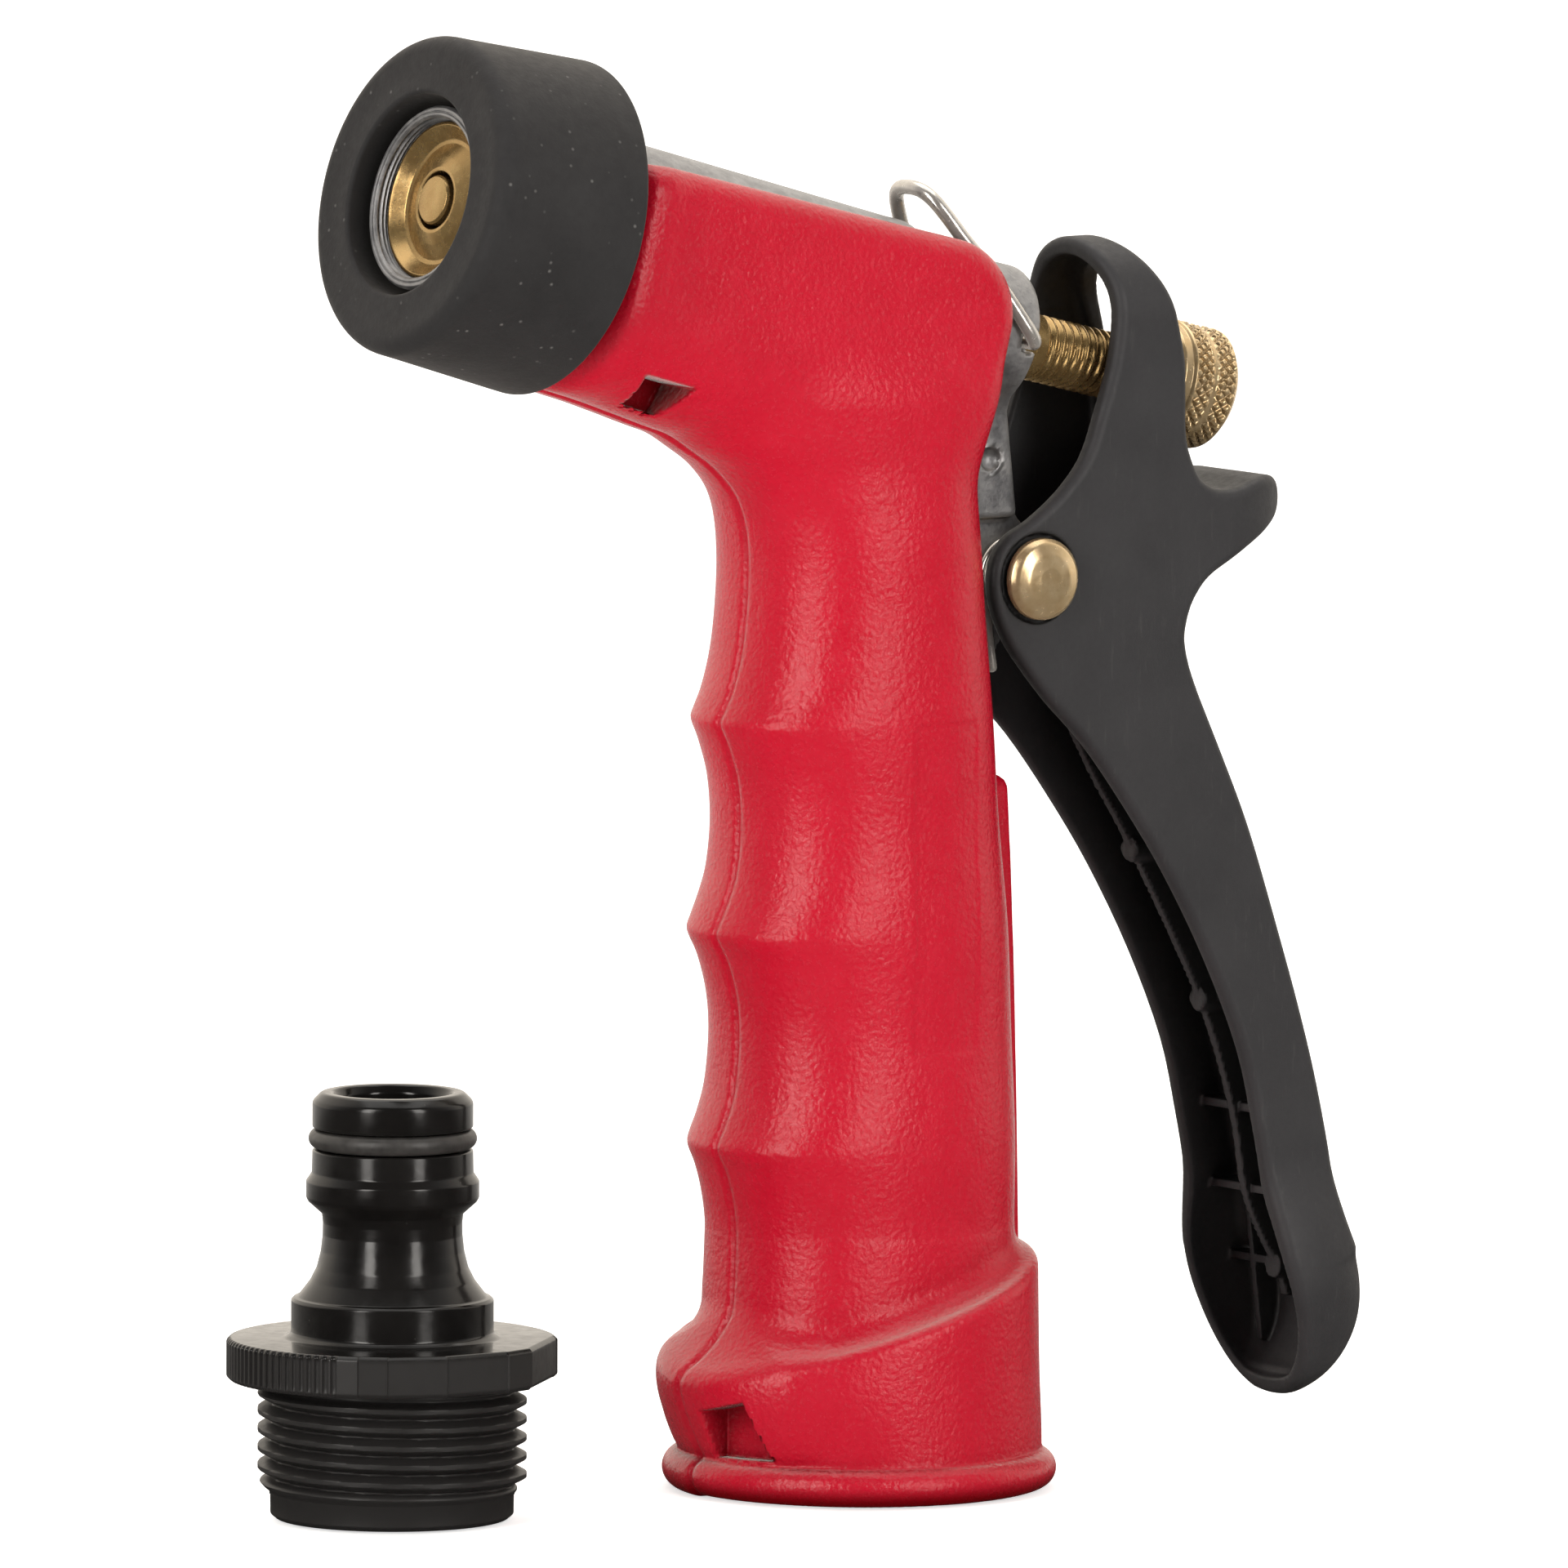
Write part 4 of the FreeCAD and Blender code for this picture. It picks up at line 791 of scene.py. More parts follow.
GRIP_REAR = station_curve([
    (4, 15.7), (26, 15.6), (40, 15.35), (52, 14.75), (71, 12.85), (80, 11.9), (92, 10.8),
    (100, 10.1), (106, 10.3), (114, 10.4)])
# (z, half width) of the grip
GRIP_HALF = station_curve([
    (8, 13.5), (24, 13.25), (27, 13.1), (35, 13.5), (46, 12.85), (56.5, 13.4), (67, 12.85),
    (77.6, 13.3), (88, 12.9), (95, 12.9), (101, 12.6), (110, 12.2), (116, 12.1)])
# (distance along the barrel, height) of the underside of the head
HEAD_BOTTOM = station_curve([
    (-12, -14.5), (0, -17.3), (15, -17.3), (22, -17.0), (28, -16.4), (33, -15.95), (40, -15.6)])
# (z, depth) of the inlet end, to the front and to the rear of the axis
INLET_FRONT = station_curve([
    (-3, 17.6), (3.2, 17.7), (5.0, 18.3), (7.5, 19.6), (10.0, 20.8), (12.5, 21.0), (17, 19.9),
    (24, 18.9), (32, 18.2)])
INLET_REAR = station_curve([(-3, 18.2), (5, 18.3), (12, 17.95), (22, 17.75), (32, 17.7)])
# (z, y) of the edge of the rear fin
FIN_EDGE = station_curve([
    (20, 18.6), (24.5, 18.5), (45.6, 18.0), (60, 17.45), (68.8, 16.95), (74, 16.6)])
# Window in each side of the head, (along, up); pocket in the front of the base, (x, z)
HEAD_WINDOW = Outline([(29.6, -15.4), (30.4, -12.3), (24.5, -12.5), (25.6, -15.8)], step=0.1, pad=4)
BASE_POCKET = Outline([(1.3, 8.9), (7.2, 10.3), (8.3, 4.3), (1.3, 4.15)], step=0.1, pad=4)

GRIP_MID_Y = -0.8
GRIP_POWER = 2.3                    # above 2, the section is squarer than an ellipse
GRIP_LOW, GRIP_HIGH = 6.0, 112.0
HEAD_HALF, HEAD_TOP = 12.2, 20.0
HEAD_REAR, HEAD_FRONT = -11.0, 38.3
FLOOR_CUT = 0.02                    # bottom plane of the cover
BEAD_R, BEAD_Z = 17.75, 1.85
FIN_HALF, FIN_LOW, FIN_HIGH = 1.4, 22.0, 70.6


def grip_shape(x, y, z):
    half = GRIP_HALF(z)
    depth = np.where(y < GRIP_MID_Y, GRIP_MID_Y - GRIP_FRONT(z), GRIP_REAR(z) - GRIP_MID_Y)
    n = GRIP_POWER
    u = np.abs(x) / half + 1e-4
    v = np.abs(y - GRIP_MID_Y) / depth + 1e-4
    q = (u ** n + v ** n) ** (1 / n)
    slope = q ** (1 - n) * np.hypot(u ** (n - 1) / half, v ** (n - 1) / depth)
    grip = round_max((q - 1) / slope, z - GRIP_HIGH, 3.0)
    return round_max(grip, GRIP_LOW - z, 2.0)


def head_shape(x, along, up):
    # soft ridge round the front end, then the fall into the gap by the bumper
    fall = rise(along, 35.3, 38.2)
    ridge = 0.38 * np.exp(-((along - 33.9) / 1.9) ** 2)
    half = HEAD_HALF + (ridge - 1.9 * fall * fall * (3 - 2 * fall))
    bottom = HEAD_BOTTOM(along)
    mid = (HEAD_TOP + bottom) * 0.5
    corner = np.where(up > mid, 2.0, 10.8)
    head = rounded_box(x, up - mid, half, (HEAD_TOP - bottom) * 0.5, corner)
    # flat top, rolled over at the rear end
    roof = round_max(up - (8.15 - 0.35 * rise(along, 33, 37)), -(along - HEAD_REAR), 7.9)
    return round_max(round_max(head, roof, 3.0), along - HEAD_FRONT, 0.7)


def inlet_shape(x, y, z):
    half = 17.85 - 0.008 * z
    depth = np.where(y < 0, INLET_FRONT(z), INLET_REAR(z))
    u = x / half
    v = y / depth
    q = np.hypot(u, v) + 1e-5
    base = (q - 1) / (np.hypot(u / half, v / depth) / q + 1e-6)
    # shoulder plane rising to the back
    shoulder = (z - 13.1 - (y + 19.0) * 0.297) * 0.9586
    return round_max(round_max(base, shoulder, 1.0), -z + FLOOR_CUT, 0.4)


def cover_outer(x, y, z):
    side = np.abs(x)
    radius = np.hypot(x, y)
    body = smooth_min(grip_shape(x, y, z), head_shape(x, *barrel_coords(y, z)), 4.6)
    # the fillet over the inlet end widens at the front
    body = round_min(body, inlet_shape(x, y, z), 2.7 + 3.4 * rise(y, -11.5, -16.5))
    body = np.maximum(body, -z + FLOOR_CUT)
    bead = np.hypot(radius - BEAD_R, z - BEAD_Z) - BEAD_Z
    bead = union(bead, common(slab(z, BEAD_Z, half=1.83), radius - 17.8))
    body = round_min(body, bead, 0.35)
    fin = round_max(round_max(side - FIN_HALF, y - FIN_EDGE(z), 0.7), z - FIN_HIGH, 1.6)
    body = round_min(body, common(fin, 8.0 - y, FIN_LOW - z), 0.8)
    # mould line down the front: a tiny step and the fine groove beside it,
    # moved aside near the bottom
    line_x = x + 1.7 * rise(z, 18.0, 11.0)
    step = 0.22 * np.clip(0.5 - line_x / 0.5, 0, 1)
    groove = 0.20 * np.exp(-((line_x - 0.25) / 0.42) ** 2)
    body = body - rise(y, -8.0, -12.0) * (step - groove)
    # plain sunk panel on each side of the grip
    panel = rounded_box(y - 1.5, z - 61.0, half_u=4.0, half_v=16.6, r=0.8)
    return body + 0.13 * np.clip(0.5 - panel / 0.35, 0, 1) * (side > 6)


def socket_cone(radius, z, base_r, base_z, mid, half):
    """Cone above the socket, its slope 1.176 and 0.648 the cosine for it."""
    return common((radius - base_r + (z - base_z) * 1.176) * 0.648, slab(z, mid, half))


def cover_void(x, y, z):
    side = np.abs(x)
    along, up = barrel_coords(y, z)
    barrel_r = np.hypot(x, up)
    pipe_r = np.hypot(x, y)
    socket_r, socket_top = SOCKET_R + FIT, SOCKET_TOP + FIT
    void = union(
        common(barrel_r - 9.85, -3.2 - along),
        common(barrel_r - (BOSS_R + FIT), along - 2.0),
        common(pipe_r - (PIPE_R + FIT), slab(z, mid=62, half=58)),
        common(pipe_r - socket_r, z - socket_top),
        socket_cone(pipe_r, z, socket_r, socket_top, mid=13.15, half=2.05),
        # open roof over the barrel
        common(side - 6.7, 3.0 - up, along - 45.0))
    # rear slot for the web and the lug
    slot = common(side - 4.2, slab(z, mid=97.0, half=15.4), 2.0 - y)
    return smooth_min(void, slot, 0.4)


def cover_cuts(x, y, z):
    window = common(HEAD_WINDOW(*barrel_coords(y, z)), 3.4 - np.abs(x))
    pocket = common(BASE_POCKET(x, z), y + 9.0, 16.85 - np.hypot(x, y))
    return union(window, pocket)


def cover_field(x, y, z):
    shell = round_max(cover_outer(x, y, z), -cover_void(x, y, z), 0.45)
    return round_max(shell, -cover_cuts(x, y, z), 0.3)


cover = make_field_object("grip_cover_skin", cover_field, low=(-21.6, -42.0, -1.2),
                          high=(21.6, 22.4, 136.0), step=0.42,
                          slot="red_cover", body="body", node="grip_cover")
cover.visible_glossy = False

# ------------------------------------------------------------------ casting
# Rear edge of the web, z and y
WEB_Z = [82, 93.5, 97.0, 107.9, 111]
WEB_Y = [13.0, 15.4, 16.0, 14.8, 13.5]
WEB_HALF, LUG_HALF, LUG_R, LUG_Z = 4.0, 2.6, 4.7, 91.0
DIMPLE_Y, DIMPLE_Z = 12.5, 102.6


def casting_solid(x, y, z):
    side = np.abs(x)
    along, up = barrel_coords(y, z)
    barrel_r = np.hypot(x, up)
    pipe_r = np.hypot(x, y)
    # the top of the barrel swells a little towards the nose
    top = rise(up, 5.0, 9.0) * (side < 6.6)
    swell = top * (0.034 * np.clip(along, 0, 34) - 0.28)
    barrel = round_max(barrel_r - (9.45 + swell), slab(along, mid=22.0, half=24.9), 1.6)
    boss = round_max(barrel_r - BOSS_R, slab(along, mid=-6.4, half=10.4), 0.9)
    body = round_min(barrel, boss, 1.6)
    pipe = round_max(pipe_r - PIPE_R, slab(z, mid=61.5, half=49.0), 0.6)
    body = round_min(body, pipe, 1.0)
    socket = common(round_max(pipe_r - SOCKET_R, z - SOCKET_TOP, 0.5), -z + 0.05)
    cone = socket_cone(pipe_r, z, SOCKET_R, SOCKET_TOP, mid=12.9, half=1.7)
    body = union(body, socket, cone)
    # rear web, stepped down to the lug
    web_y = np.interp(z, WEB_Z, WEB_Y).astype(f32)
    web = round_max(side - WEB_HALF, y - web_y, 0.7)
    web = common(round_max(web, slab(z, mid=103.8, half=7.2), 0.6), 2 - y)
    body = round_min(body, web, 1.2)
    eye = np.hypot(y - PIVOT_Y, z - PIVOT_Z) - LUG_R
    slope = 0.30 * np.maximum(z - LUG_Z, 0) - 0.5 * np.minimum(z - LUG_Z, 0)
    plate = common(slab(z, LUG_Z, half=9.0), y - 18.3 + slope, 2 - y)
    lug = round_max(round_min(eye, plate, 2.0), side - LUG_HALF, 0.35)
    body = round_min(body, lug, 0.5)
    # cast dimple on each side of the web, with a raised ring
    off_y, off_z = y - DIMPLE_Y, z - DIMPLE_Z
    dimple = np.sqrt((side - 4.3) ** 2 + off_y ** 2 + off_z ** 2) - 1.25
    body = round_max(body, -dimple, 0.25)
    ring = np.hypot(np.hypot(off_y, off_z) - 1.35, side - WEB_HALF) - 0.2
    return round_min(body, ring, 0.2)


def casting_void(x, y, z):
    along, up = barrel_coords(y, z)
    barrel_r = np.hypot(x, up)
    pipe_r = np.hypot(x, y)
    # thread turns of the inlet, then the plain relief above them
    turns = np.clip(1.0 - np.abs(((z - 2.0) / THREAD_PITCH) % 1.0 - 0.5) * 2.2, 0, 1)
    thread_r = THREAD_R + np.where(z < 10.4, turns, 0.44)
    return union(
        # stepped bore of the barrel, from the nose to the stem hole
        common(barrel_r - 6.6, slab(along, mid=22.5, half=23.5)),
        common(barrel_r - 8.0, slab(along, mid=51, half=6.0)),
        common(barrel_r - 5.55, slab(along, mid=-4.5, half=5.0)),
        common(barrel_r - 3.47, slab(along, mid=-12, half=7)),
        # water way of the pipe and the threaded inlet
        common(pipe_r - 7.6, slab(z, mid=64.0, half=51.2)),
        common(pipe_r - thread_r.astype(f32), slab(z, mid=5.6, half=7.6)),
        # pin bore and clip hole
        np.hypot(y - PIVOT_Y, z - PIVOT_Z) - 2.46,
        common(np.hypot(y - CLIP_Y, z - CLIP_Z) - 1.15, 5.2 - np.abs(x)))


def casting_field(x, y, z):
    return round_max(casting_solid(x, y, z), -casting_void(x, y, z), 0.2)


casting = make_field_object("zinc_casting", casting_field, low=(-16.6, -56.4, -0.9),
                            high=(16.6, 21.6, 142.6), step=0.5,
                            slot="zinc", body="body", node="body_casting")
casting.visible_glossy = False

# Profiles from here on are (radius, place along the axis, fillet).
# The machined nose ring shows its fine thread turns, so it is turned apart.
nose_profile = [
    (9.262, 49.2), (9.262, 54.15, 0.25), (9.0, 54.5, 0.12), (8.72, 54.5, 0.08),
    (8.62, 54.3, 0.05), (8.5, 54.5, 0.08), (8.28, 54.5, 0.08), (8.05, 54.2, 0.05)]
for k in range(3):
    nose_profile += [(8.3, 54.0 - 0.12 - 0.42 * k), (8.0, 54.0 - 0.32 - 0.42 * k)]
nose_profile += [(7.99, 52.2), (7.99, 49.2)]
points, faces = lathe(fine(rounded(nose_profile, steps=3), step=1.2), seg=160)
make_object("nose_ring", to_barrel(points), faces, "zinc", body="body", sharp=38)

# ------------------------------------------------------------------- bumper
bumper_profile = [
    (9.95, 39.1, 0.4), (13.6, 39.1, 0.3), (16.95, 39.15, 0.5), (16.85, 41.2), (16.2, 53.0),
    (16.05, 56.4, 2.7), (10.15, 56.4, 0.45), (10.1, 49.6), (11.6, 49.1), (11.6, 45.9), (9.95, 45.6)]
points, faces = lathe(fine(rounded(bumper_profile, steps=8), step=0.9), seg=192)
# the front face is very slightly dished
radius = np.hypot(points[:, 0], points[:, 1])
dish = 0.12 * rise(radius, 10.2, 12.2) * rise(radius, 14.5, 12.5)
points[:, 2] -= np.where(points[:, 2] > 55.8, dish, 0)
make_object("rubber_bumper", to_barrel(points), faces, "black_rubber", "body", "front_bumper",
            sharp=60)

# --------------------------------------------------------------- valve seat
seat_profile = [
    (7.93, 46.05), (7.93, 53.1, 0.15), (7.55, 53.2, 0.12), (7.1, 52.75, 0.3), (6.35, 52.0, 0.35),
    (5.9, 51.95, 0.3), (4.4, 52.6, 0.8), (3.3, 53.0, 0.3), (2.92, 52.95, 0.12), (2.88, 50.4, 0.1),
    (3.4, 50.0, 0.15), (3.4, 45.6, 0.1), (3.9, 45.6, 0.1), (4.3, 46.05)]
points, faces = lathe(fine(rounded(seat_profile, steps=6), step=0.5), seg=160)
make_object("brass_seat", to_barrel(points), faces, "brass", "body", "valve_seat", sharp=40)

# --------------------------------------------------------------- valve stem
STEM_R = 3.38
stem_profile = [
    (0.0, -41.9), (2.9, -41.9, 0.2), (STEM_R, -41.4),
    *straight(STEM_R, start=-41.3, stop=-19.0, step=0.085),
    (STEM_R, -18.9), (STEM_R, 38.9), (3.0, 39.05), (3.0, 43.3), (2.8, 43.4), (2.8, 49.8),
    (2.48, 50.2), (2.48, 53.1, 0.1), (2.3, 53.35, 0.12), (1.0, 53.4, 0.3), (0.0, 53.38)]


def stem_thread(r, z, theta):
    """Thread of 1 mm pitch on the rear end of the stem."""
    tri = np.abs((z - theta / TURN) % 1.0 - 0.5) * 2.0
    crest = rise(tri, 0.18, 0.82)
    fade = rise(z, -20.3, -21.1) * rise(z, -41.5, -40.9)
    return np.where((z < -19.0) & (r > 3.3), r - 0.36 * (1 - crest) * fade, r)


points, faces = lathe(rounded(stem_profile, steps=3), seg=96, closed=False, radial=stem_thread)
make_object("brass_stem", to_barrel(points), faces, "brass", "stem", "valve_stem", sharp=44)

# ------------------------------------------------------------ adjusting nut
KNURLS = 32
KNURL_PITCH_R = 6.2     # radius at which the knurl lines lie at 45 degrees
nut_profile = [
    (3.46, -35.8, 0.15), (5.5, -35.8, 0.25), (5.8, -36.1, 0.2), (5.8, -36.95, 0.1),
    (6.05, -37.1, 0.1), (6.14, -37.2, 0.1),
    *straight(6.16, start=-37.3, stop=-42.0, step=-0.075),
    (6.1, -42.2, 0.2), (5.2, -43.0, 0.3), (4.2, -43.0, 0.2), (3.46, -42.6, 0.1)]


def knurl(r, z, theta):
    """Crossed grooves, with a plain band sunk in the middle."""
    turns = theta / TURN * KNURLS
    slant = (z + 37) * (KNURLS / (TURN * KNURL_PITCH_R))
    one = 1 - np.abs(2 * ((turns + slant) % 1.0) - 1)
    other = 1 - np.abs(2 * ((turns - slant) % 1.0) - 1)
    height = np.clip(np.minimum(one, other) * 1.7, 0, 1)
    fade = rise(z, -37.3, -37.6) * rise(z, -42.2, -41.85)
    band = np.clip(1.4 - np.abs(z + 39.75) / 0.42, 0, 1)
    knurled = r - 0.42 * (1 - height) * fade * (1 - band) - 0.26 * band
    return np.where((r > 6.0) & (z < -37.25) & (z > -42.2), knurled, r)


points, faces = lathe(rounded(nut_profile, steps=4), seg=512, radial=knurl)
make_object("knurled_nut", to_barrel(points), faces, "brass", "nut", "adjusting_nut",
            finish="brass_painted_reflection")

# ------------------------------------------------------------ return spring
# Closed ends; its length is taken from the CAD spring
COIL_TURNS = 12.0
CLOSED_TURNS = 0.9      # at each end
CLOSED_PITCH = 1.12
COIL_R, COIL_WIRE_R = 4.85, 0.54
END_INSET = 0.55        # from the CAD end to the wire's centre

cad_spring = frame["nodes"]["return_spring"]
cad_points = np.array([cad_spring.matrix_world @ v.co for v in cad_spring.data.vertices]) / MM
cad_along = barrel_coords(cad_points[:, 1], cad_points[:, 2])[0]
rear = float(cad_along.min()) + END_INSET
front = float(cad_along.max()) - END_INSET
turns = np.linspace(0, COIL_TURNS, int(COIL_TURNS * 40) + 1)
open_turns = COIL_TURNS - 2 * CLOSED_TURNS
opened = np.clip(turns - CLOSED_TURNS, 0, open_turns) / open_turns
closed = (CLOSED_PITCH * np.clip(turns, 0, CLOSED_TURNS)
          + CLOSED_PITCH * np.clip(turns - COIL_TURNS + CLOSED_TURNS, 0, CLOSED_TURNS))
along = rear + closed + opened * (front - rear - 2 * CLOSED_PITCH * CLOSED_TURNS)
coil = np.stack([COIL_R * np.cos(turns * TURN), COIL_R * np.sin(turns * TURN), along], 1)
points, faces = tube(to_barrel(coil), COIL_WIRE_R, seg=12)
return_spring = make_object("stem_return_spring", points, faces, "spring_steel",
                            node="return_spring")
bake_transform(return_spring)

# -------------------------------------------------------------------- lever
# Side view, (y, z): the rear edge downwards, then the front edge upwards
LEVER_REAR = [
    (24.4, 126.6), (27.0, 125.6), (29.2, 123.2), (30.9, 120.3), (32.0, 117.6), (32.78, 114.6),
    (33.38, 111.6), (33.46, 108.0), (33.5, 104.9), (33.8, 102.9), (34.6, 101.0), (35.7, 99.5),
    (37.3, 98.6), (39.2, 98.4), (41.2, 98.75), (43.2, 99.3), (45.3, 99.4), (47.0, 98.6),
    (47.7, 97.0), (47.0, 95.4), (44.8, 94.0), (42.0, 92.6), (39.4, 91.2), (37.0, 89.8),
    (35.5, 88.2), (34.5, 86.3), (34.0, 83.8), (34.5, 81.2), (35.5, 78.6), (36.6, 76.2),
    (38.8, 71.5), (41.1, 66.4), (43.0, 61.5), (45.9, 53.0), (48.1, 46.3), (50.1, 39.5),
    (51.7, 32.8), (52.7, 27.8), (53.9, 23.6), (55.4, 19.8), (56.2, 16.0), (56.1, 13.0),
    (55.1, 10.2), (53.6, 7.9), (51.9, 6.3), (50.6, 5.5), (49.9, 5.9)]
LEVER_FRONT = [
    (49.5, 7.2), (48.6, 10.6), (47.6, 14.0), (46.5, 17.4), (45.6, 20.6), (45.0, 24.0),
    (44.2, 29.0), (43.2, 34.0), (41.3, 41.6), (37.3, 50.8), (32.3, 59.7), (27.3, 67.0),
    (22.2, 73.5), (17.3, 78.4), (14.2, 82.0), (12.4, 84.4), (10.9, 87.4), (10.3, 90.4),
    (10.8, 93.2), (12.4, 95.2), (15.0, 96.6), (18.4, 99.2), (21.2, 102.6), (23.0, 107.2),
    (24.5, 112.0), (25.1, 116.2), (25.1, 119.4), (24.6, 122.0), (24.1, 124.6)]
LEVER_OUTLINE = Outline(np.concatenate([smooth_chain(LEVER_REAR, sub=4),
                                        smooth_chain(LEVER_FRONT, sub=4)]))
# Side view, (y, z), of the hollow, open to the front
LEVER_HOLLOW = Outline(smooth_chain([
    (2.0, 124.4), (24.0, 124.0), (26.6, 122.6), (28.5, 119.8), (29.9, 117.0), (30.9, 114.0),
    (31.6, 111.2), (31.85, 108.0), (31.9, 104.5), (32.2, 101.4), (33.4, 98.4), (33.7, 93.2),
    (32.7, 89.6), (32.0, 86.4), (31.7, 83.2), (32.6, 79.6), (34.2, 76.2), (36.5, 71.1),
    (38.8, 66.0), (40.8, 61.1), (43.7, 52.7), (45.8, 46.1), (47.8, 39.3), (49.4, 32.8),
    (50.5, 27.8), (51.8, 23.2), (53.3, 18.8), (53.9, 15.0), (53.4, 11.9), (52.2, 9.7),
    (50.8, 8.3), (48.0, 6.6), (30.0, 1.0), (2.0, 1.0)], sub=4), step=0.25)
# (z, half width)
LEVER_HALF = station_curve([
    (0, 7.8), (24, 7.8), (60, 7.85), (78, 7.9), (88, 7.95), (100, 7.95), (130, 7.95)])
# (z, y) of the front edge of the long rib
RIB_EDGE = station_curve([
    (6, 53.5), (12, 52.5), (16, 51.6), (18.6, 50.6), (22, 48.6), (26.7, 46.6), (35.1, 45.0),
    (46.3, 41.0), (61.9, 32.6), (70, 27.6), (79.3, 22.6), (86, 19)])
RIB_PADS = ((22.9, 79.4), (32.5, 61.9), (41.0, 46.3), (50.4, 18.7))     # y, z
CROSS_RIBS = ((45.3, 35.1), (46.8, 26.7), (50.6, 18.9))                 # y, z
HOOD_Z = 116.05                             # centre of the rounded top
BULB_Y, BULB_Z, BULB_TILT = 49.0, 18.3, math.radians(14.0)


def bulb(x, y, z, rx, ry, rz):
    """Tilted ellipsoid at the foot of the lever."""
    off_y = y - BULB_Y
    off_z = z - BULB_Z
    a = off_y * math.cos(BULB_TILT) + off_z * math.sin(BULB_TILT)
    b = -off_y * math.sin(BULB_TILT) + off_z * math.cos(BULB_TILT)
    k0 = np.sqrt((x / rx) ** 2 + (a / ry) ** 2 + (b / rz) ** 2) + 1e-4
    k1 = np.sqrt((x / rx ** 2) ** 2 + (a / ry ** 2) ** 2 + (b / rz ** 2) ** 2) + 1e-5
    return k0 * (k0 - 1) / k1


def hood(x, z, radius):
    """Rounded top of the lever as seen from behind; no limit lower down."""
    return np.where(z > HOOD_Z, np.hypot(x, z - HOOD_Z) - radius, f32(-50.0))


def lever_ribs(x, y, z):
    """Long rib, round pads with spurs, and cross ribs inside the handle."""
    side = np.abs(x)
    ribs = common(side - 0.55, RIB_EDGE(z) - y, slab(z, mid=48.5, half=33.0))
    for pad_y, pad_z in RIB_PADS:
        pad = common(np.hypot(x, z - pad_z) - 1.35, pad_y - 0.15 - y)
        ribs = smooth_min(ribs, pad, 0.4)
        spur = common(slab(z - pad_z, mid=0.2, half=0.4), pad_y + 0.9 + 0.5 * side - y, side - 6.4)
        ribs = union(ribs, spur)
    for rib_y, rib_z in CROSS_RIBS:
        ribs = union(ribs, common(slab(z, rib_z, half=0.42), rib_y + 0.35 - y, side - 9.0))
    # one more upright rib, off to the -X side of the foot
    upright = common(slab(x, mid=-4.4, half=0.4), 51.3 - 0.12 * (z - 15) - y,
                     slab(z, mid=18.5, half=8.0))
    return union(ribs, upright)


def lever_field(x, y, z):
    side = np.abs(x)
    half = LEVER_HALF(z)
    # the horn at the rear narrows towards its tip
    horn = np.clip(y - 39.2, 0, 9.2) / 9.9
    outer_half = np.where((z > 86) & (z < 106), half * np.sqrt(1 - horn * horn), half)
    wide = smooth_min(common(side - outer_half, 22.0 - z), bulb(x, y, z, 10.25, 10.2, 13.2), 3.0)
    wide = common(wide, hood(x, z, radius=7.95))
    # the top is slightly skewed across X
    outline = LEVER_OUTLINE(y - 0.065 * x * rise(z, 94, 102), z)
    body = round_max(outline, wide, 0.95)
    inner = smooth_min(common(side - (half - 1.8), 20.5 - z), bulb(x, y, z, 8.7, 8.9, 11.7), 2.0)
    inner = common(inner, hood(x, z, radius=6.1))
    hollow = round_max(inner, LEVER_HOLLOW(y, z), 1.0)
    body = round_max(body, -hollow, 0.38)
    # stem slot through the spine
    slot = np.hypot(x, np.maximum(z - 116.3, 0) + np.minimum(z - 106.0, 0)) - 4.85
    body = round_max(body, -common(slot, 27.0 - y), 0.4)
    ribs = common(lever_ribs(x, y, z), outline + 0.8, wide + 0.8)
    body = round_min(body, ribs, 0.35)
    # shallow seat round the pin head, and the pin bore
    pin_r = np.hypot(y - PIVOT_Y, z - PIVOT_Z)
    body = round_max(body, -common(pin_r - 4.5, 7.65 - side), 0.2)
    return common(body, -(pin_r - 2.44))


make_field_object("squeeze_lever", lever_field, low=(-11.2, 8.8, 2.6), high=(11.2, 58.6, 126.0),
                  step=0.34, slot="lever_black", body="lever", node="lever")

# ------------------------------------------------- pin, cap and small wires
# The pin's head is on the +X side, its cap on the -X side
pin_profile = [
    (0.0, -9.3), (2.3, -9.3, 0.2), (2.4, -9.0), (2.4, 8.0), (3.95, 8.0, 0.1), (4.12, 8.2, 0.12),
    (4.08, 8.9, 0.35), (3.6, 9.45, 1.0), (2.5, 9.9, 2.0), (1.2, 10.1, 1.6), (0.0, 10.14)]
points, faces = lathe(rounded(pin_profile, steps=6), seg=96, closed=False)
make_object("pivot_pin_head", to_pivot(points, 1), faces, "brass", "lever", "pivot_pin",
            finish="brass_painted_reflection", sharp=48)

cap_profile = [
    (0.0, 9.95), (2.6, 9.9, 0.6), (3.7, 9.2, 0.5), (3.8, 8.6, 0.2), (3.8, 8.02, 0.1),
    (2.45, 8.02), (2.45, 9.45), (0.0, 9.45)]
points, faces = lathe(rounded(cap_profile, steps=5), seg=72, closed=False)
make_object("pin_end_cap", to_pivot(points, -1), faces, "brass", "lever", "pin_cap",
            finish="brass_painted_reflection", sharp=44)

# Torsion spring wound round the pin, its two legs leaving the coil straight
TORSION_R, TORSION_X, TORSION_PITCH = 3.55, 3.25, 1.08
foot = np.array([TORSION_X, 13.4, 81.6])
hand = np.array([TORSION_X + 1.0, 29.2, 84.6])


def touch(point, sign):
    """Angle at which a line from the point touches the coil."""
    dy, dz = point[1] - PIVOT_Y, point[2] - PIVOT_Z
    return math.atan2(dz, dy) + sign * math.acos(TORSION_R / math.hypot(dy, dz))


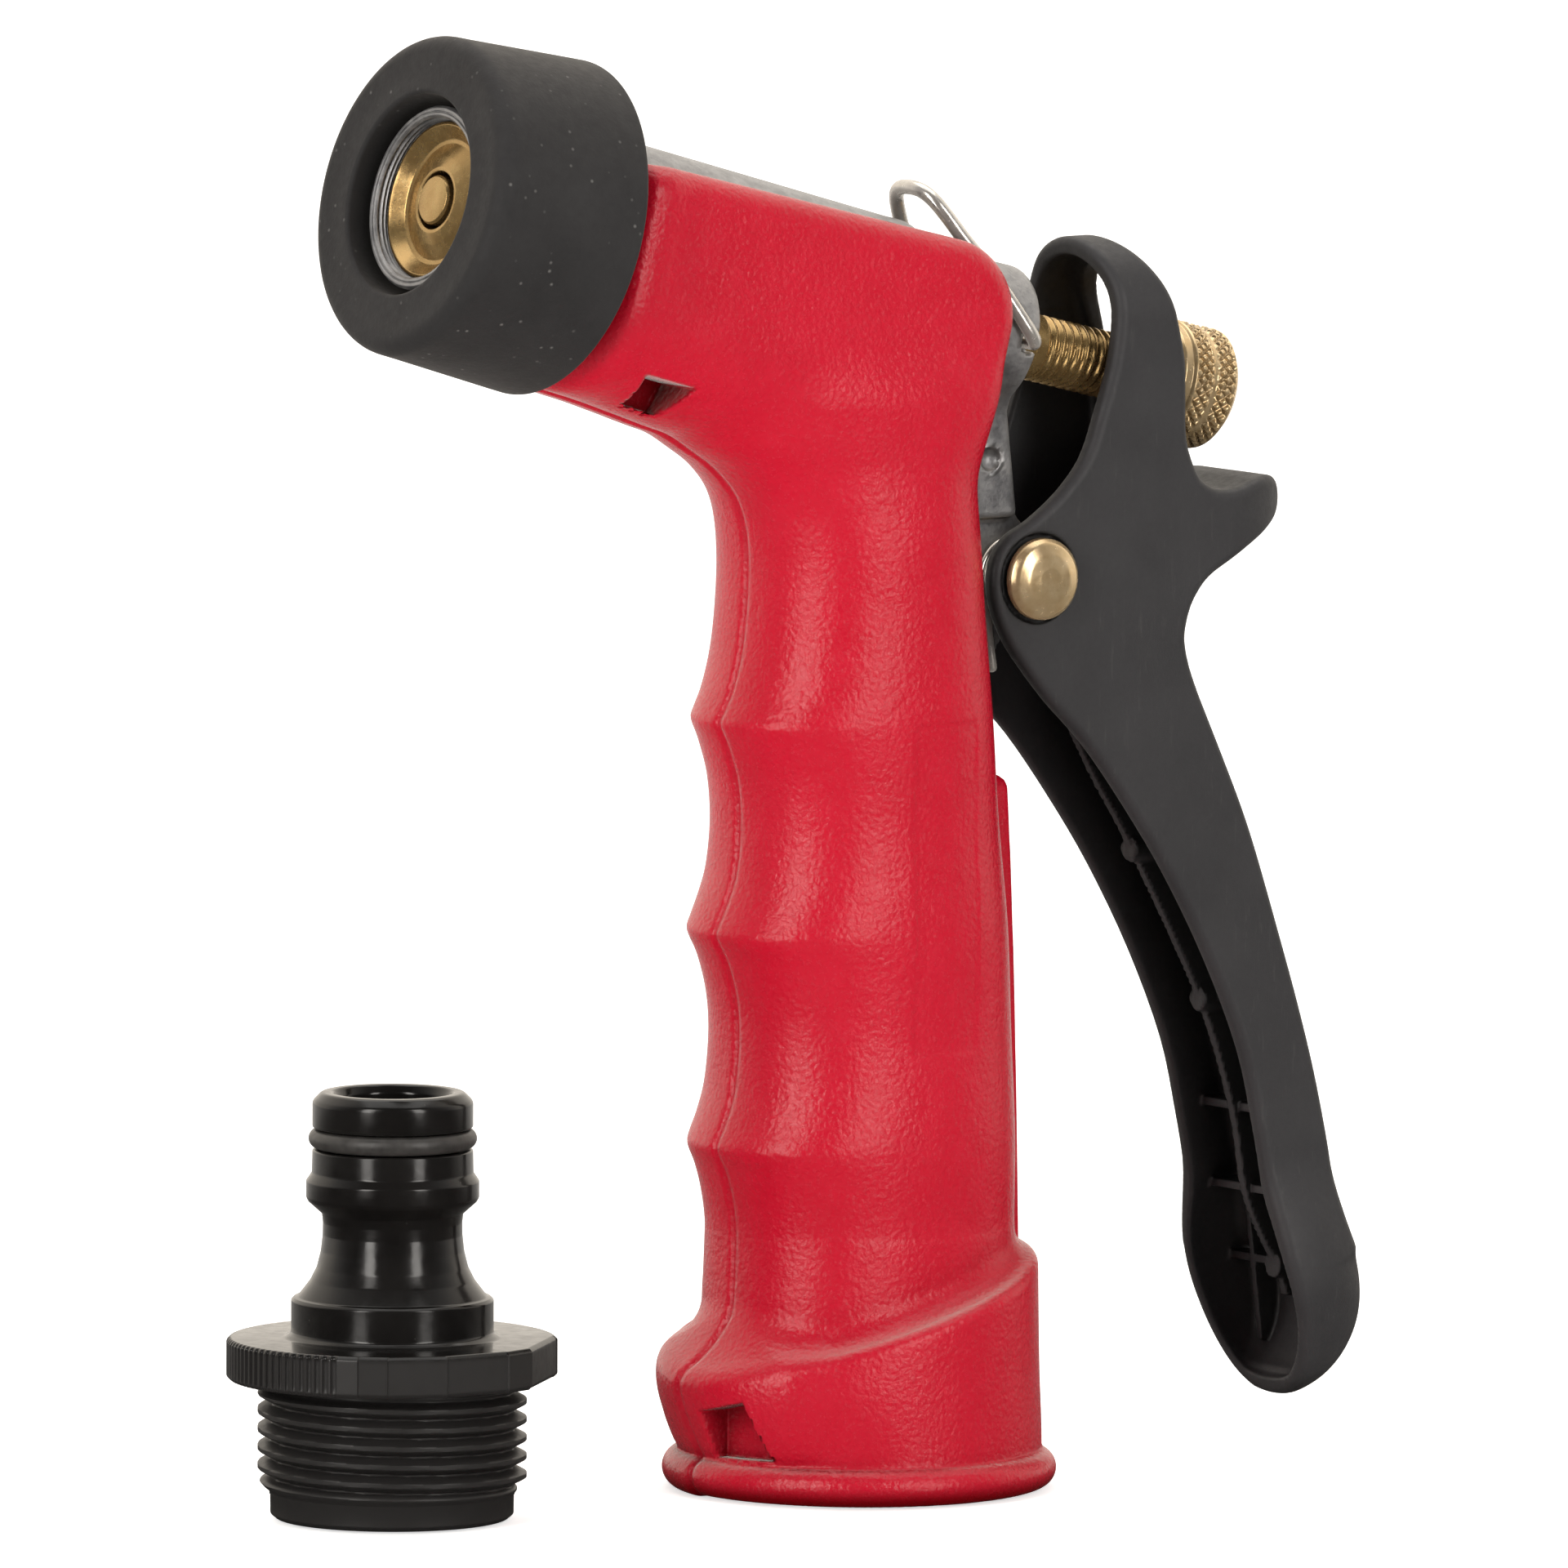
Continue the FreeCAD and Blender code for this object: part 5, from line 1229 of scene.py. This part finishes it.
start = touch(foot, -1.0) + TURN
end = touch(hand, 1.0) - TURN
coil = [np.array([TORSION_X + TORSION_PITCH * (start - a) / TURN,
                  PIVOT_Y + TORSION_R * math.cos(a), PIVOT_Z + TORSION_R * math.sin(a)])
        for a in np.linspace(start, end, 72)]
path = [foot + (coil[0] - foot) * k / 8 for k in range(8)] + coil
path += [coil[-1] + (hand - coil[-1]) * k / 12 for k in range(1, 13)]
points, faces = tube(path, radius=0.5, seg=14)
make_object("torsion_spring", points, faces, "spring_steel", "body", "lever_spring")

# Wire clip: (x, y, z) of the +X half, mirrored for the other
half_clip = [
    (5.8, CLIP_Y, CLIP_Z), (6.9, CLIP_Y, CLIP_Z), (7.75, 15.15, 114.42), (8.2, 14.85, 114.8),
    (8.2, 14.1, 116.0), (7.55, 12.4, 118.8), (6.5, 10.3, 122.1), (5.3, 8.3, 125.0),
    (4.3, 7.0, 127.2), (3.4, 6.15, 128.65), (2.3, 5.65, 129.5), (0.95, 5.45, 129.85)]
clip_path = half_clip + [(-x, y, z) for x, y, z in reversed(half_clip)]
points, faces = tube(smooth_chain(clip_path, sub=7), radius=0.74, seg=18)
make_object("hold_open_wire", points, faces, "spring_steel", "clip", "hold_open_clip")

# ------------------------------------------------------------------ adapter
ADAPTER_PLACE = np.array([-4.6, -53.1, 0.0])
ADAPTER_SCALE = np.array([1.01, 1.01, 1.016])
RIM_R = 16.3
RIM_RIBS = 116
adapter_profile = [
    (7.8, 0.0, 0.2), (11.4, 0.0, 0.25), (11.95, 0.45, 0.25), (11.98, 2.3),
    *straight(THREAD_R, start=2.4, stop=13.45, step=0.09),
    (THREAD_R, 13.55), (15.9, 13.6, 0.2), (RIM_R, 13.95, 0.3),
    *straight(RIM_R, start=14.2, stop=17.2, step=0.4),
    (RIM_R, 17.35, 0.25), (15.95, 17.7, 0.3), (10.6, 17.75, 0.8), (9.95, 18.2, 0.4),
    (9.95, 21.4, 0.2), (9.7, 21.65, 0.15), (9.3, 21.75, 0.3), (8.1, 23.3, 1.5), (7.45, 24.6, 1.5),
    (7.05, 26.2, 1.5), (6.87, 27.8, 1.5), (6.85, 29.0, 0.5), (6.95, 29.9, 0.3), (8.3, 31.1, 0.3),
    (8.5, 31.5, 0.3), (8.5, 33.1, 0.3), (7.95, 33.9, 0.4), (7.9, 36.05, 0.12), (7.75, 36.2, 0.1),
    (6.35, 36.2, 0.2), (6.35, 38.3, 0.2), (7.75, 38.3, 0.1), (7.9, 38.45, 0.12), (7.9, 40.9, 0.75),
    (7.0, 41.8, 0.7), (5.9, 41.8, 0.45), (5.4, 41.0, 0.5), (5.4, 20.0, 2.0), (7.8, 12.0, 2.0)]
# Edges of the plain rim facets, as angles from the sight line
FACETS = [math.radians(a) for a in (-18.8, -11.4, -1.0, 20.0, 45.2, 58.0, 95.0)]
SIGHT_ANGLE = math.atan2(SIGHT_Y, SIGHT_X)


def adapter_shape(r, z, theta):
    """Thread at the bottom; fine ribs and plain facets on the flange rim."""
    tri = 1 - np.abs((z / THREAD_PITCH + theta / TURN) % 1.0 - 0.5) * 2.0
    crest = rise(tri, 0.12, 0.74) ** 0.85
    fade = rise(z, 2.5, 3.8) * rise(z, 13.1, 12.3)
    thread = (z > 2.4) & (z < 13.5) & (r > 12.0) & (r < 12.2)
    r = np.where(thread, r + 1.16 * crest * fade, r)
    rim = (r > 15.0) & (z > 13.55) & (z < 17.75)
    a = (theta - SIGHT_ANGLE) % TURN
    a = np.where(a > FACETS[0] + TURN, a - TURN, a)
    rib = np.clip(0.5 + 1.1 * np.cos(a * RIM_RIBS), 0, 1)
    height = rise(z, 13.7, 14.2) * rise(z, 17.6, 17.2)
    ribbed = r - 0.30 * (1 - rib) * rise(r, 15.2, 16.0) * (0.35 + 0.65 * height)
    flat = r.copy()
    for i, (low, high) in enumerate(zip(FACETS[:-1], FACETS[1:])):
        mid, half = 0.5 * (low + high), 0.5 * (high - low)
        # close to a chord of the rim; every other facet is sunk a little
        chord = (math.cos(half) / np.cos(a - mid)) * 0.97 + 0.03
        flat = np.where((a >= low) & (a < high), r * chord - 0.17 * (i % 2), flat)
    faceted = (a >= FACETS[0]) & (a < FACETS[-1])
    return np.where(rim, np.where(faceted, flat, ribbed), r)


points, faces = lathe(rounded(adapter_profile), seg=928, radial=adapter_shape)
make_object("quick_connect_adapter", points * ADAPTER_SCALE + ADAPTER_PLACE, faces,
            "adapter_black", "adapter", "adapter_body", sharp=42)

SEAL_R, SEAL_Z, SEAL_WIRE_R = 7.32, 37.25, 0.95
seal_profile = [(SEAL_R + SEAL_WIRE_R * math.cos(t), SEAL_Z + SEAL_WIRE_R * math.sin(t))
                for t in np.linspace(0, TURN, 28, endpoint=False)]
points, faces = lathe(seal_profile, seg=128)
make_object("adapter_seal_ring", points * ADAPTER_SCALE + ADAPTER_PLACE, faces,
            "seal_rubber", "adapter", "adapter_o_ring")


# -------------------------------------------------------------------- stage
# Sizes of the stage are in metres
FLOOR_HALF, FLOOR_Z = 9.0, -0.0002


def floor_material():
    """Pale floor that mirrors as a glow fading towards the camera."""
    material = bpy.data.materials.new("pale_floor")
    material.use_nodes = True
    tree = material.node_tree
    surface = tree.nodes["Principled BSDF"]
    rays = add_node(tree, "LightPath", {}).outputs
    grit = add_node(tree, "TexNoise", {"Scale": 40.0}).outputs["Fac"]
    values = {"Base Color": (0.90, 0.90, 0.90), "Roughness": 0.9, "Specular IOR Level": 0.1,
              "Emission Color": (1, 1, 1)}
    for name, value in values.items():
        feed(tree, surface.inputs[name], value)
    feed(tree, surface.inputs["Emission Strength"],
         map_range(tree, rays["Is Camera Ray"], target=(0.12, 0.62)))
    feed(tree, surface.inputs["Roughness"], map_range(tree, grit, target=(0.84, 0.96)))
    position = add_node(tree, "NewGeometry", {}).outputs["Position"]
    nearness = add_node(tree, "VectorMath", {0: position, 1: (0.826, -0.5635, 0.0)},
                        operation="DOT_PRODUCT").outputs["Value"]
    strength = map_range(tree, nearness, source=(-0.35, 0.04), target=(0.85, 0.035),
                         interpolation_type="SMOOTHSTEP")
    glow = add_node(tree, "Emission", {0: (1.0, 0.95, 0.88), 1: strength}).outputs[0]
    mixed = add_node(tree, "MixShader",
                     {0: rays["Is Glossy Ray"], 1: surface.outputs[0], 2: glow}).outputs[0]
    tree.links.new(mixed, tree.nodes["Material Output"].inputs[0])
    return material


def make_floor():
    mesh = bpy.data.meshes.new("floor")
    s = FLOOR_HALF
    mesh.from_pydata([(-s, -s, 0), (s, -s, 0), (s, s, 0), (-s, s, 0)], [], [(0, 1, 2, 3)])
    ob = bpy.data.objects.new("floor", mesh)
    scene.collection.objects.link(ob)
    mesh.materials.append(floor_material())
    ob.location.z = FLOOR_Z
    return ob


make_floor()

# World colour by direction, from behind the subject (0) to the camera side (1)
SKY = [(0.30, (2.5, 2.3, 2.02, 1)), (0.45, (1.25, 1.21, 1.15, 1)),
       (0.60, (0.36, 0.355, 0.35, 1)), (0.74, (0.05, 0.05, 0.05, 1))]
SEEN_SKY = (2.2, 2.2, 2.2)          # what the camera itself sees
SKY_STRENGTH = 0.49


def make_world():
    world = bpy.data.worlds.new("studio")
    scene.world = world
    world.use_nodes = True
    tree = world.node_tree
    tree.nodes.clear()
    direction = add_node(tree, "TexCoord", {}).outputs["Generated"]
    facing = add_node(tree, "VectorMath", {0: direction, 1: (SIGHT_X, SIGHT_Y, -0.05)},
                      operation="DOT_PRODUCT").outputs["Value"]
    ramp = add_node(tree, "ValToRGB", {0: map_range(tree, facing, source=(-1.0, 1.0))})
    stops = ramp.color_ramp.elements
    for stop, (place, colour) in zip(stops, (SKY[0], SKY[-1])):
        stop.position = place
        stop.color = colour
    for place, colour in SKY[1:-1]:
        stops.new(place).color = colour
    seen = add_node(tree, "LightPath", {}).outputs["Is Camera Ray"]
    colour = mix_colours(tree, seen, under=ramp.outputs[0], over=SEEN_SKY)
    background = add_node(tree, "Background", {0: colour, 1: SKY_STRENGTH}).outputs[0]
    add_node(tree, "OutputWorld", {0: background})


make_world()

TOWARDS = Vector((SIGHT_X, SIGHT_Y, 0)).normalized()
ACROSS = Vector((0.5632, 0.8263, 0)).normalized()       # to the camera's right
AIM = Vector((0.0, 0.0, 0.075))


def softbox(name, place, width, height, power, colour):
    light = bpy.data.lights.new(name, "AREA")
    light.shape = "RECTANGLE"
    light.size, light.size_y = width, height
    light.energy = power
    light.color = colour
    ob = bpy.data.objects.new(name, light)
    scene.collection.objects.link(ob)
    ob.location = place
    ob.rotation_euler = (AIM - place).to_track_quat("-Z", "Y").to_euler()


# Name, angle from the sight line in degrees, power in watts
for name, degrees, power in (("box_front", -37.0, 9.6), ("box_rear", 37.0, 8.2)):
    angle = math.radians(degrees)
    level = (TOWARDS * math.cos(angle) + ACROSS * math.sin(angle)) * 1.15
    softbox(name, AIM + level + Vector((0, 0, 0.30)), width=0.30, height=1.1, power=power,
            colour=(1.0, 0.965, 0.92))
softbox("box_top", AIM + Vector((-0.25, 0.2, 1.5)), width=1.5, height=1.5, power=11.0,
        colour=(1.0, 0.985, 0.96))

# ------------------------------------------------------------------- camera
# The camera's own axes and its place, in metres
CAMERA_RIGHT = (0.56320618, 0.82630912, 0.00346957)
CAMERA_UP = (-0.09261785, 0.05895414, 0.9939549)
CAMERA_BACK = (0.82110945, -0.56012289, 0.10973431)
CAMERA_PLACE = (2.67041847618, -1.83112152219, 0.42782605084)

lens = bpy.data.cameras.new("camera")
lens.sensor_fit = "HORIZONTAL"
lens.sensor_width = 36.0
lens.lens = 750.0
lens.clip_start = 0.1
lens.clip_end = 60.0
camera = bpy.data.objects.new("camera", lens)
scene.collection.objects.link(camera)
camera.matrix_world = Matrix([*zip(CAMERA_RIGHT, CAMERA_UP, CAMERA_BACK, CAMERA_PLACE),
                              (0, 0, 0, 1)])
scene.camera = camera
scene.view_settings.view_transform = "Standard"
scene.view_settings.look = "None"
